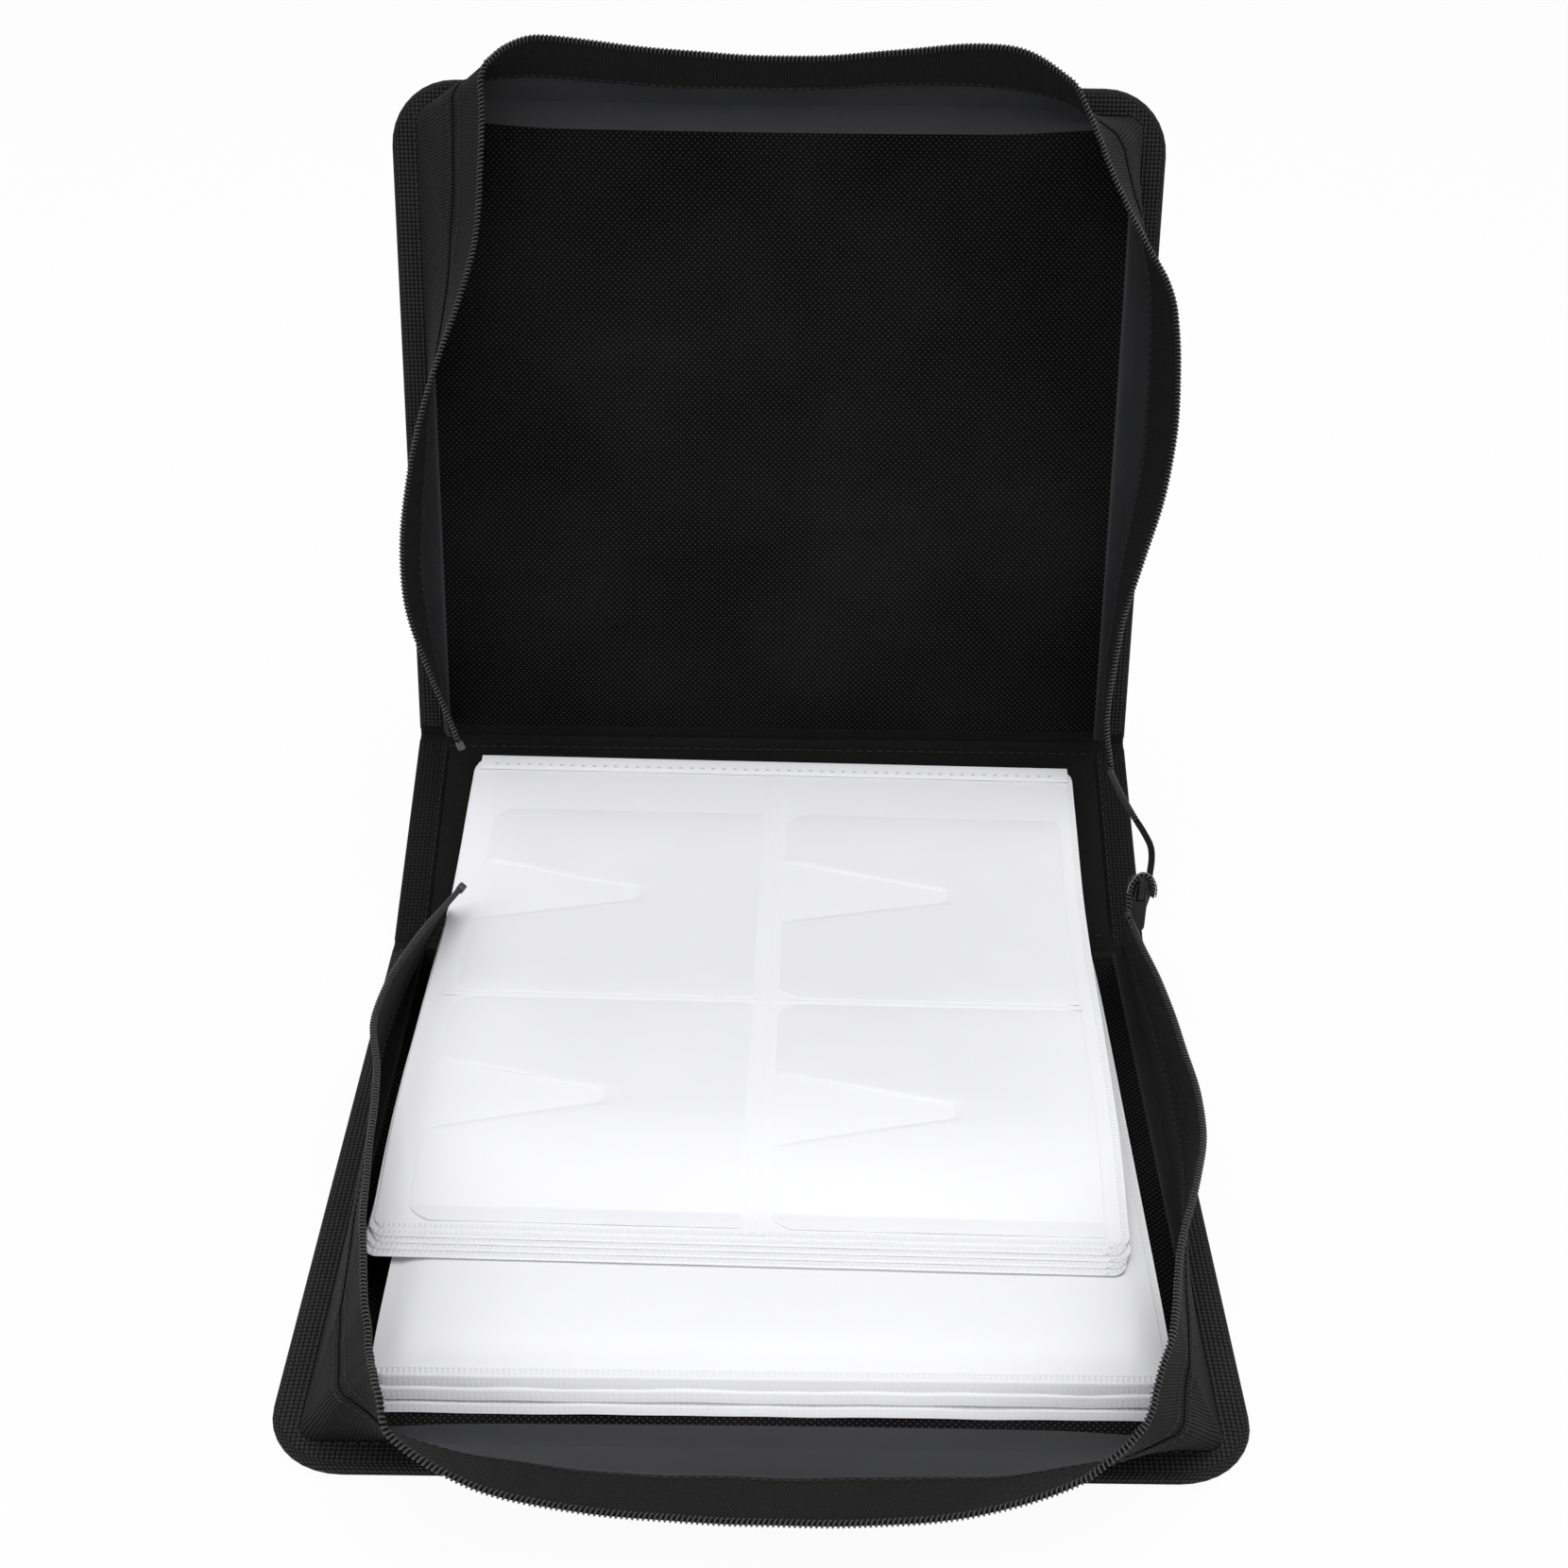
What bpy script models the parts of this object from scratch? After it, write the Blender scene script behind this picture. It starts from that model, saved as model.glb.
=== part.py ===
"""A large zip-round disc album, lying open: the base flat, the spine sloping up behind it, the lid standing.

Metres, +Z up. The origin is the centre of the base's underside, +X is the zip's closed end and -Y the front.
Each of base, spine and lid is a fabric cover with a stiffener board and a lining in its pocket. Base and lid
each carry a side wall with half of the zip. Two bundles of sleeve pages lie in the base, bound at the back.
"""

import math

import bmesh
import bpy
from mathutils import Matrix, Vector

# Panels. A panel's length runs from the axis of its fold to its free edge.
CASE_WIDTH = 0.335
PANEL_LENGTH = 0.299
SPINE_DEPTH = 0.118
COVER_THICKNESS = 0.005
COVER_SKIN = 0.0009
BOARD_THICKNESS = 0.0025
LINING_THICKNESS = 0.0008
CORNER_RADIUS = 0.028
EDGE_ROUNDING = 0.0021

# The flange is what stands outside the seam of the side wall. The pocket starts a little inside that seam.
FLANGE_WIDTH = 0.012
POCKET_INSET = 0.0027
POCKET_END_WALL = 0.003
SEAM_CORNER_RADIUS = 0.006

# Folds. Each is a roll of doubled fabric round the hinge axis, half a cover's thickness above the outer skin.
FOLD_ROLL_RADIUS = 0.0022
FOLD_CLEARANCE = 0.0006
SPINE_ANGLE = math.radians(23.0)
LID_ANGLE = math.radians(79.7)

# Side walls and zip, measured up the wall from the seam.
WALL_HEIGHT = 0.054
WALL_FABRIC_HEIGHT = 0.030
WALL_THICKNESS = 0.0008
TAPE_OVERLAP = 0.004
TAPE_THICKNESS = 0.0006
TAPE_LIFT = 0.0008
COIL_GAP = 0.0018
COIL_RADIUS = 0.0017
STOP_LENGTH = 0.004

# Pages. The margin lies between a page and the seam of the side wall.
PAGE_MARGIN = 0.018
PAGE_WIDTH = CASE_WIDTH - 2 * FLANGE_WIDTH - 2 * PAGE_MARGIN
PAGE_CORNER_RADIUS = 0.006
LEAF_OVERLAP_SHARE = 0.4
LEAF_STATION = 0.0125
BINDING_THICKNESS = 0.0008

# Slider and pull tab.
SLIDER_WIDTH = 0.0096
SLIDER_LENGTH = 0.014
SLIDER_PLATE = 0.0013
SLIDER_CHANNEL = 0.0024
CROWN_WIDTH = 0.0024
CROWN_THICKNESS = 0.0014
TAB_WIDTH = 0.0062
TAB_LENGTH = 0.025
TAB_THICKNESS = 0.0018
TAIL_RADIUS = 0.0016
TAIL_GAP = 0.0007
TAIL_LEAD = 0.003

# Gap between pieces that touch.
CLEARANCE = 0.0003

PANEL_START = FOLD_ROLL_RADIUS + FOLD_CLEARANCE
AXIS_HEIGHT = COVER_THICKNESS / 2
FOLD_Y = PANEL_LENGTH / 2
BASE_FOLD = Vector((0, FOLD_Y, AXIS_HEIGHT))
SPINE_RUN = Vector((0, math.cos(SPINE_ANGLE), math.sin(SPINE_ANGLE)))
LID_FOLD = BASE_FOLD + SPINE_DEPTH * SPINE_RUN

# How each side wall leans. The place counts along the seam from the fold on the left (0) to the left corner
# (1), the right corner (2) and the fold on the right (3). The lean is the wall's direction from seam to zip:
# its share to the right and its share away from the fold.
BASE_LEAN = (
    (0.00, 0.41, 0.38), (0.25, 0.10, 0.29), (0.38, 0.05, 0.26), (0.50, 0.16, 0.23), (0.75, 0.28, 0.18),
    (0.92, 0.41, 0.13), (1.00, 0.48, 0.16), (1.06, 0.27, 0.42), (1.12, 0.03, 0.67), (1.25, -0.14, 0.86),
    (1.50, -0.21, 0.92), (1.75, -0.28, 0.89), (1.88, -0.35, 0.78), (1.94, -0.42, 0.64), (2.00, -0.53, 0.45),
    (2.06, -0.46, 0.43), (2.12, -0.35, 0.45), (2.25, -0.21, 0.49), (2.50, 0.13, 0.56), (2.75, 0.12, 0.60),
    (3.00, -0.04, 0.61),
)
LID_LEAN = (
    (0.00, 0.24, 0.25), (0.25, -0.15, 0.26), (0.50, 0.03, 0.31), (0.75, 0.48, 0.28), (0.92, 0.58, 0.32),
    (1.00, 0.57, 0.38), (1.06, 0.45, 0.53), (1.12, 0.37, 0.60), (1.25, 0.36, 0.54), (1.38, 0.34, 0.49),
    (1.50, 0.31, 0.49), (1.75, 0.24, 0.58), (1.88, 0.01, 0.36), (1.94, -0.18, 0.10), (2.00, -0.34, -0.17),
    (2.06, -0.22, -0.19), (2.12, -0.06, -0.15), (2.25, 0.24, -0.05), (2.50, 0.28, 0.02), (2.75, 0.00, 0.09),
    (2.92, -0.08, 0.13), (3.00, -0.02, 0.15),
)
SIDE_STEPS = 16
CORNER_STEPS = 4

# Heights of the page bundles' faces: (towards the spine from the fold, height).
LOWER_TOP = ((-0.286, 0.0215), (-0.240, 0.0225), (-0.200, 0.0222), (-0.150, 0.0215), (-0.090, 0.0205),
             (-0.045, 0.0190), (-0.009, 0.0155))
UPPER_TOP = ((-0.197, 0.0262), (-0.175, 0.0325), (-0.150, 0.0362), (-0.090, 0.0368), (-0.045, 0.0358),
             (0.000, 0.0385), (0.046, 0.0475), (0.079, 0.0540))
UPPER_REST = ((-0.001, 0.0172), (0.046, 0.0300), (0.079, 0.0415))
# Each leaf's front edge lies one step behind the front edge of the leaf below it.
LOWER_FRONT = FLANGE_WIDTH + 0.0135 - PANEL_LENGTH
LOWER_BUNDLE = {
    "leaves": 4, "front": LOWER_FRONT, "back": -0.0095, "step": -0.001, "shift": 0.0037, "skew": 0.0,
}
UPPER_BUNDLE = {
    "leaves": 5, "front": LOWER_FRONT + 0.0535, "back": 0.079, "step": 0.0028, "shift": -0.0008,
    "skew": -0.021,
}

# The zip's tail at the right: the base's half loops up and over onto the slider, and the lid's half comes
# down behind the loop. Points are measured from the right end of the fold between base and spine.
TAIL_ORIGIN = Vector((CASE_WIDTH / 2, FOLD_Y, 0))
SLIDER_AT = TAIL_ORIGIN + Vector((-0.0095, -0.0198, 0.0510))
BASE_TAIL = ((-0.0150, -0.0300, 0.0500), (-0.0147, -0.0260, 0.0540), (-0.0131, -0.0240, 0.0588),
             (-0.0098, -0.0234, 0.0618), (-0.0065, -0.0238, 0.0607), (-0.0046, -0.0243, 0.0564),
             (-0.0045, -0.0244, 0.0518))
LID_TAIL_LOW = ((-0.0059, -0.0201, 0.0612), (-0.0046, -0.0135, 0.0641), (-0.0051, -0.0100, 0.0680),
                (-0.0074, -0.0045, 0.0710), (-0.0095, 0.0010, 0.0725))
# This half lies along the spine, so here the second number is a share of the spine's depth.
LID_TAIL_HIGH = ((-0.0097, 0.013, 0.0726), (-0.0118, 0.072, 0.0738), (-0.0138, 0.169, 0.0738),
                 (-0.0148, 0.288, 0.0720), (-0.0151, 0.373, 0.0702))

BLACK_WEAVE = (0.0105, 0.0098, 0.0098)
DARK_COATING = (0.024, 0.0245, 0.026)
NON_WOVEN = (0.006, 0.006, 0.0062)
GREY_BOARD = (0.18, 0.17, 0.155)
ZIP_BLACK = (0.014, 0.014, 0.015)
SLEEVE_WHITE = (0.88, 0.88, 0.91)


def clear_scene():
    for obj in list(bpy.data.objects):
        bpy.data.objects.remove(obj, do_unlink=True)


def new_collection(name, hidden=False):
    collection = bpy.data.collections.new(name)
    collection.hide_render = hidden
    bpy.context.scene.collection.children.link(collection)
    return collection


def material(name, color, roughness, metallic=0.0):
    made = bpy.data.materials.new(name)
    made.use_nodes = True
    shader = made.node_tree.nodes["Principled BSDF"]
    shader.inputs["Base Color"].default_value = (*color, 1.0)
    shader.inputs["Roughness"].default_value = roughness
    shader.inputs["Metallic"].default_value = metallic
    made.diffuse_color = (*color, 1.0)
    return made


def panel_empty(name, at, angle, facing):
    """An empty on a fold's axis: local Y runs along the panel from the fold, local Z out of its face."""
    empty = bpy.data.objects.new(name, None)
    run = Vector((0, facing * math.cos(angle), math.sin(angle)))
    across = Vector((facing, 0, 0))
    frame = Matrix((across, run, across.cross(run))).transposed().to_4x4()
    empty.matrix_world = Matrix.Translation(at) @ frame
    PIECES.objects.link(empty)
    return empty


def add_object(name, data, parent=None, collection=None, finish=None):
    obj = bpy.data.objects.new(name, data)
    (collection or PIECES).objects.link(obj)
    obj.parent = parent
    if finish:
        data.materials.append(material(name, *finish))
    return obj


def mesh_from(bm, name, smooth_angle=math.radians(35)):
    bmesh.ops.recalc_face_normals(bm, faces=bm.faces)
    mesh = bpy.data.meshes.new(name)
    bm.to_mesh(mesh)
    bm.free()
    mesh.shade_smooth()
    mesh.set_sharp_from_angle(angle=smooth_angle)
    return mesh


def bevel(obj, width, segments):
    rounding = obj.modifiers.new("rounding", "BEVEL")
    rounding.width = width
    rounding.segments = segments
    rounding.limit_method = "ANGLE"
    rounding.angle_limit = math.radians(40)


def boolean(obj, other, operation):
    change = obj.modifiers.new(operation.lower(), "BOOLEAN")
    change.operation = operation
    change.object = other
    change.solver = "EXACT"


def arc(centre, radius, start, end, steps):
    """Points on an arc about a centre, both ends included."""
    turns = [start + (end - start) * i / steps for i in range(steps + 1)]
    return [(centre[0] + radius * math.cos(a), centre[1] + radius * math.sin(a)) for a in turns]


def panel_outline(half_width, start, end, radius, steps=8):
    """A rectangle from start to end along a panel, with round corners at its free edge."""
    left, right = radius - half_width, half_width - radius
    return (
        [(-half_width, start), (half_width, start)]
        + arc((right, end - radius), radius, 0, math.pi / 2, steps)
        + arc((left, end - radius), radius, math.pi / 2, math.pi, steps)
    )


def plate(name, outline, bottom, top, parent=None, collection=None, finish=None):
    """A flat plate: the outline filled, then extruded from bottom to top."""
    bm = bmesh.new()
    face = bm.faces.new([bm.verts.new((x, y, bottom)) for x, y in outline])
    raised = bmesh.ops.extrude_face_region(bm, geom=[face])
    moved = [item for item in raised["geom"] if isinstance(item, bmesh.types.BMVert)]
    bmesh.ops.translate(bm, verts=moved, vec=(0, 0, top - bottom))
    return add_object(name, mesh_from(bm, name), parent, collection, finish)


def block(name, size, at, parent=None, collection=None, finish=None):
    bm = bmesh.new()
    bmesh.ops.create_cube(bm, size=1.0)
    bmesh.ops.scale(bm, vec=size, verts=bm.verts)
    bmesh.ops.translate(bm, vec=at, verts=bm.verts)
    return add_object(name, mesh_from(bm, name), parent, collection, finish)


def layered_panel(prefix, parent, length, is_spine=False):
    """Cover, board and lining of one panel. The spine has a fold at both ends, and so no round corners."""
    start = PANEL_START
    end = length - PANEL_START if is_spine else length
    radius = 2 * EDGE_ROUNDING if is_spine else CORNER_RADIUS
    outline = panel_outline(CASE_WIDTH / 2, start, end, radius)
    cover = plate(f"{prefix}_cover", outline, -AXIS_HEIGHT, AXIS_HEIGHT, parent,
                  finish=(BLACK_WEAVE, 0.85))
    bevel(cover, EDGE_ROUNDING, 3)

    rim = FLANGE_WIDTH + POCKET_INSET
    pocket_start = start + POCKET_END_WALL
    pocket_end = end - POCKET_END_WALL if is_spine else end - rim
    floor = COVER_SKIN - AXIS_HEIGHT

    def inner_outline(inset):
        return panel_outline(
            CASE_WIDTH / 2 - rim - inset, pocket_start + inset, pocket_end - inset,
            SEAM_CORNER_RADIUS - inset, steps=4,
        )

    pocket = plate(f"{prefix}_pocket", inner_outline(0), floor, COVER_THICKNESS, parent, CUTTERS)
    boolean(cover, pocket, "DIFFERENCE")

    board_bottom = floor + CLEARANCE
    board_top = board_bottom + BOARD_THICKNESS
    plate(f"{prefix}_board", inner_outline(CLEARANCE), board_bottom, board_top, parent,
          finish=(GREY_BOARD, 0.9))
    lining_bottom = board_top + CLEARANCE
    plate(f"{prefix}_lining", inner_outline(CLEARANCE), lining_bottom, lining_bottom + LINING_THICKNESS,
          parent, finish=(NON_WOVEN if not is_spine else BLACK_WEAVE, 0.8))


def fold_roll(name, parent):
    """The doubled fabric of a fold, rolled round its hinge axis."""
    bm = bmesh.new()
    bmesh.ops.create_cone(
        bm, cap_ends=True, segments=16, radius1=FOLD_ROLL_RADIUS, radius2=FOLD_ROLL_RADIUS,
        depth=CASE_WIDTH - 2 * EDGE_ROUNDING, matrix=Matrix.Rotation(math.pi / 2, 4, "Y"),
    )
    add_object(name, mesh_from(bm, name), parent, finish=(BLACK_WEAVE, 0.85))


def seam_route():
    """Places and points along the seam of a side wall, left to right: (place, across, away from the fold)."""
    half = CASE_WIDTH / 2 - FLANGE_WIDTH
    far = PANEL_LENGTH - FLANGE_WIDTH
    near = PANEL_START
    radius = SEAM_CORNER_RADIUS
    turn = radius / (far - near)
    route = []
    for i in range(SIDE_STEPS + 1):
        share = i / SIDE_STEPS * (1 - turn)
        route.append((share, -half, near + share * (far - near)))
    for x, y in arc((radius - half, far - radius), radius, math.pi, math.pi / 2, CORNER_STEPS)[1:]:
        route.append((1 + (x + half - (far - y)) / radius * turn, x, y))
    for i in range(1, SIDE_STEPS + 1):
        share = turn + i / SIDE_STEPS * (1 - 2 * turn)
        route.append((1 + share, radius - half + i / SIDE_STEPS * 2 * (half - radius), far))
    for x, y in arc((half - radius, far - radius), radius, math.pi / 2, 0, CORNER_STEPS)[1:]:
        route.append((2 + (far - y - (half - x)) / radius * turn, x, y))
    for i in range(1, SIDE_STEPS + 1):
        share = turn + i / SIDE_STEPS * (1 - turn)
        route.append((2 + share, half, far - share * (far - near)))
    return route


def smooth_value(keys, values, at):
    """The value at a place, on a smooth curve through the given ones and level beyond both ends."""
    at = min(max(at, keys[0]), keys[-1])
    i = max(k for k in range(len(keys) - 1) if keys[k] <= at)
    width = keys[i + 1] - keys[i]
    share = (at - keys[i]) / width

    def tangent(k):
        low, high = max(k - 1, 0), min(k + 1, len(keys) - 1)
        return (values[high] - values[low]) / (keys[high] - keys[low]) * width

    return (
        values[i] * (2 * share**3 - 3 * share**2 + 1) + tangent(i) * (share**3 - 2 * share**2 + share)
        + values[i + 1] * (3 * share**2 - 2 * share**3) + tangent(i + 1) * (share**3 - share**2)
    )


def lean_at(lean, place):
    places, rights, aways = zip(*lean)
    return smooth_value(places, rights, place), smooth_value(places, aways, place)


def inward_at(frames, i, height, hand):
    """The wall's inward normal at a height over one point of the seam."""
    before, after = frames[max(i - 1, 0)], frames[min(i + 1, len(frames) - 1)]
    along = (after[0] + height * after[1]) - (before[0] + height * before[1])
    return hand * along.cross(frames[i][1]).normalized()


def wall_frames(lean, hand):
    """For each point of the seam: the point, and the wall's direction from it up to the zip."""
    foot = AXIS_HEIGHT + CLEARANCE
    frames = []
    for place, across, away in seam_route():
        right, forth = lean_at(lean, place)
        rise = math.sqrt(max(1 - right**2 - forth**2, 0.01))
        frames.append((Vector((hand * across, away, foot)), Vector((hand * right, forth, rise)).normalized()))
    # Where the wall leans outwards its outer face hangs below the seam, so the seam is raised by that much.
    for i, (point, _up) in enumerate(frames):
        point.z += WALL_THICKNESS * max(inward_at(frames, i, 0, hand).z, 0) * 1.05
    return frames


def wall_band(name, parent, frames, hand, low, high, rows, lift, thickness, finish):
    """A band of a side wall between two heights, lifted off the wall's surface and thickened."""
    bm = bmesh.new()
    grid = []
    for i, (point, up) in enumerate(frames):
        heights = [low + (high - low) * row / rows for row in range(rows + 1)]
        middle = lift + thickness / 2
        grid.append([bm.verts.new(point + h * up + middle * inward_at(frames, i, h, hand)) for h in heights])
    for column, following in zip(grid, grid[1:]):
        for row in range(rows):
            bm.faces.new((column[row], following[row], following[row + 1], column[row + 1]))
    band = add_object(name, mesh_from(bm, name), parent, finish=finish)
    shell = band.modifiers.new("thickness", "SOLIDIFY")
    shell.thickness = thickness
    shell.offset = 0


def smooth_points(points, steps):
    """A smooth curve through hand-placed points."""
    points = [Vector(p) for p in points]
    found = [points[0]]
    for i in range(len(points) - 1):
        before, after = points[max(i - 1, 0)], points[min(i + 2, len(points) - 1)]
        start, end = points[i], points[i + 1]
        ta, tb = (end - before) / 2, (after - start) / 2
        for k in range(1, steps + 1):
            t = k / steps
            found.append(
                start * (2 * t**3 - 3 * t**2 + 1) + ta * (t**3 - 2 * t**2 + t)
                + end * (3 * t**2 - 2 * t**3) + tb * (t**3 - t**2)
            )
    return found


def tube(name, points, radius, parent, finish):
    curve = bpy.data.curves.new(name, "CURVE")
    curve.dimensions = "3D"
    curve.bevel_depth = radius
    curve.bevel_resolution = 2
    curve.use_fill_caps = True
    spline = curve.splines.new("POLY")
    spline.points.add(len(points) - 1)
    for target, point in zip(spline.points, points):
        target.co = (*point, 1.0)
    return add_object(name, curve, parent, finish=finish)


def side_wall(prefix, parent, lean, hand):
    """Fabric wall, zip tape, coil and top stop of one half. Returns two points where the coil leads on."""
    frames = wall_frames(lean, hand)
    wall_band(f"{prefix}_wall", parent, frames, hand, 0, WALL_FABRIC_HEIGHT, 4, -WALL_THICKNESS,
              WALL_THICKNESS, (DARK_COATING, 0.7))
    tape_top = WALL_HEIGHT - COIL_RADIUS - COIL_GAP
    wall_band(f"{prefix}_zip_tape", parent, frames, hand, WALL_FABRIC_HEIGHT - TAPE_OVERLAP, tape_top, 3,
              TAPE_LIFT, TAPE_THICKNESS, (ZIP_BLACK, 0.8))
    lift = TAPE_LIFT + TAPE_THICKNESS / 2
    chain = [
        point + WALL_HEIGHT * up + lift * inward_at(frames, i, WALL_HEIGHT, hand)
        for i, (point, up) in enumerate(frames)
    ]
    coil = chain[:1] + [p.lerp(q, share) for p, q in zip(chain, chain[1:]) for share in (0.5, 1.0)]
    tube(f"{prefix}_zip_coil", coil, COIL_RADIUS, parent, (ZIP_BLACK, 0.45))

    back = (chain[0] - chain[1]).normalized()
    side = inward_at(frames, 0, WALL_HEIGHT, hand)
    stop_at = chain[0] + (STOP_LENGTH / 2 + CLEARANCE) * back + CLEARANCE * frames[0][1]
    stop = block(f"{prefix}_top_stop", (2 * COIL_RADIUS, STOP_LENGTH, 2 * COIL_RADIUS), (0, 0, 0), parent,
                 finish=(ZIP_BLACK, 0.35))
    turned = Matrix((side, back, side.cross(back))).transposed().to_4x4()
    stop.matrix_local = Matrix.Translation(stop_at) @ turned
    bevel(stop, 0.0007, 2)

    onward = (chain[-1] - chain[-2]).normalized()
    return [parent.matrix_world @ (chain[-1] + step * onward) for step in (TAIL_GAP, TAIL_GAP + TAIL_LEAD)]


def height_on(profile, y):
    return smooth_value(*zip(*profile), y)


def lower_bottom(y):
    return COVER_THICKNESS + CLEARANCE


def lower_top(y):
    return height_on(LOWER_TOP, y)


def upper_bottom(y):
    if y <= LOWER_BUNDLE["back"]:
        return lower_top(y) + 2 * CLEARANCE
    near_back = ((LOWER_BUNDLE["back"], lower_top(LOWER_BUNDLE["back"]) + 2 * CLEARANCE),)
    return height_on(near_back + UPPER_REST, y)


def upper_top(y):
    return height_on(UPPER_TOP, y)


def leaf(name, front, back, bottom, top, shift, skew):
    """One leaf: rectangles across the case, lofted from front edge to back, narrower at its corners."""
    radius = PAGE_CORNER_RADIUS
    rounding = [radius * (1 - math.cos(math.pi / 2 * i / 4)) for i in range(4)]
    # The leaves of a bundle share their stations along the page, so that their faces run parallel.
    spaced = [LEAF_STATION * i for i in range(-40, 40)]
    middle = [y for y in spaced if front + 1.1 * radius < y < back - 1.1 * radius]
    rounding.append(radius)
    stations = [front + r for r in rounding] + middle + [back - r for r in reversed(rounding)]
    bm = bmesh.new()
    rings = []
    for y in stations:
        nearest = min(y - front, back - y)
        cut = radius - math.sqrt(max(radius**2 - max(radius - nearest, 0) ** 2, 0))
        half = PAGE_WIDTH / 2 - cut * 0.96
        centre = shift - skew * y
        left, right = (centre - half, y - skew * half), (centre + half, y + skew * half)
        corners = ((left, bottom(y)), (right, bottom(y)), (right, top(y)), (left, top(y)))
        rings.append([bm.verts.new((at[0], FOLD_Y + at[1], z)) for at, z in corners])
    for ring, following in zip(rings, rings[1:]):
        for k in range(4):
            bm.faces.new((ring[k], ring[k - 1], following[k - 1], following[k]))
    bm.faces.new(rings[0])
    bm.faces.new(rings[-1][::-1])
    return mesh_from(bm, name)


def page_bundle(name, bundle, bottom, top):
    """A stack of leaves bound together, each stepped back a little from the one below it."""
    count = bundle["leaves"]
    made = None
    for k in range(count):

        def leaf_bottom(y, k=k):
            sunk = LEAF_OVERLAP_SHARE if k else 0
            return bottom(y) + (top(y) - bottom(y)) * (k - sunk) / count

        def leaf_top(y, k=k):
            return bottom(y) + (top(y) - bottom(y)) * (k + 1) / count

        shift = bundle["shift"] + 0.0006 * ((k * 2) % count - count / 2)
        front = bundle["front"] + k * bundle["step"]
        back = bundle["back"] - 0.0001 * k
        mesh = leaf(f"{name}_{k}", front, back, leaf_bottom, leaf_top, shift, bundle["skew"])
        if made is None:
            made = add_object(name, mesh, finish=(SLEEVE_WHITE, 0.4))
        else:
            other = add_object(f"{name}_leaf_{k}", mesh, collection=CUTTERS)
            boolean(made, other, "UNION")


def folded_strip(name, path_at, centre, width, parent):
    """A bent strip of tape. Its path at a given x is a list of (y, z) points in the case's frame."""
    bm = bmesh.new()
    sides = (centre - width / 2, centre + width / 2)
    rows = [[bm.verts.new((x, y, z)) for y, z in path_at(x)] for x in sides]
    for k in range(len(rows[0]) - 1):
        bm.faces.new((rows[0][k], rows[1][k], rows[1][k + 1], rows[0][k + 1]))
    strip = add_object(name, mesh_from(bm, name), parent, finish=(BLACK_WEAVE, 0.85))
    if parent:
        strip.matrix_parent_inverse = parent.matrix_world.inverted()
    shell = strip.modifiers.new("thickness", "SOLIDIFY")
    shell.thickness = BINDING_THICKNESS
    shell.offset = 0
    shell.use_even_offset = True


def on_spine(y, gap):
    """Height of the spine's inner face at y behind the fold, plus a gap measured upright."""
    return AXIS_HEIGHT + y * math.tan(SPINE_ANGLE) + AXIS_HEIGHT / math.cos(SPINE_ANGLE) + gap


def bindings(spine):
    """The tapes that bind the bundles: a leg behind the leaves and a foot on the panel below."""
    half = BINDING_THICKNESS / 2
    behind = half + CLEARANCE
    width = PAGE_WIDTH - 4 * PAGE_CORNER_RADIUS

    foot_gap = (half + CLEARANCE) / math.cos(SPINE_ANGLE)

    def upper(x):
        leg = UPPER_BUNDLE["back"] + behind + UPPER_BUNDLE["skew"] * x
        end = leg + 0.012
        return (
            (FOLD_Y + leg, upper_top(leg) - 0.004),
            (FOLD_Y + leg, on_spine(leg, foot_gap)),
            (FOLD_Y + end, on_spine(end, foot_gap)),
        )

    def lower(_x):
        leg = LOWER_BUNDLE["back"] + behind
        foot = COVER_THICKNESS + CLEARANCE + half
        return (
            (FOLD_Y + leg, lower_top(leg) - 0.002),
            (FOLD_Y + leg, foot),
            (FOLD_Y - PANEL_START - EDGE_ROUNDING, foot),
        )

    folded_strip("upper_binding", upper, UPPER_BUNDLE["shift"], width, spine)
    folded_strip("lower_binding", lower, LOWER_BUNDLE["shift"], width, None)


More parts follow.
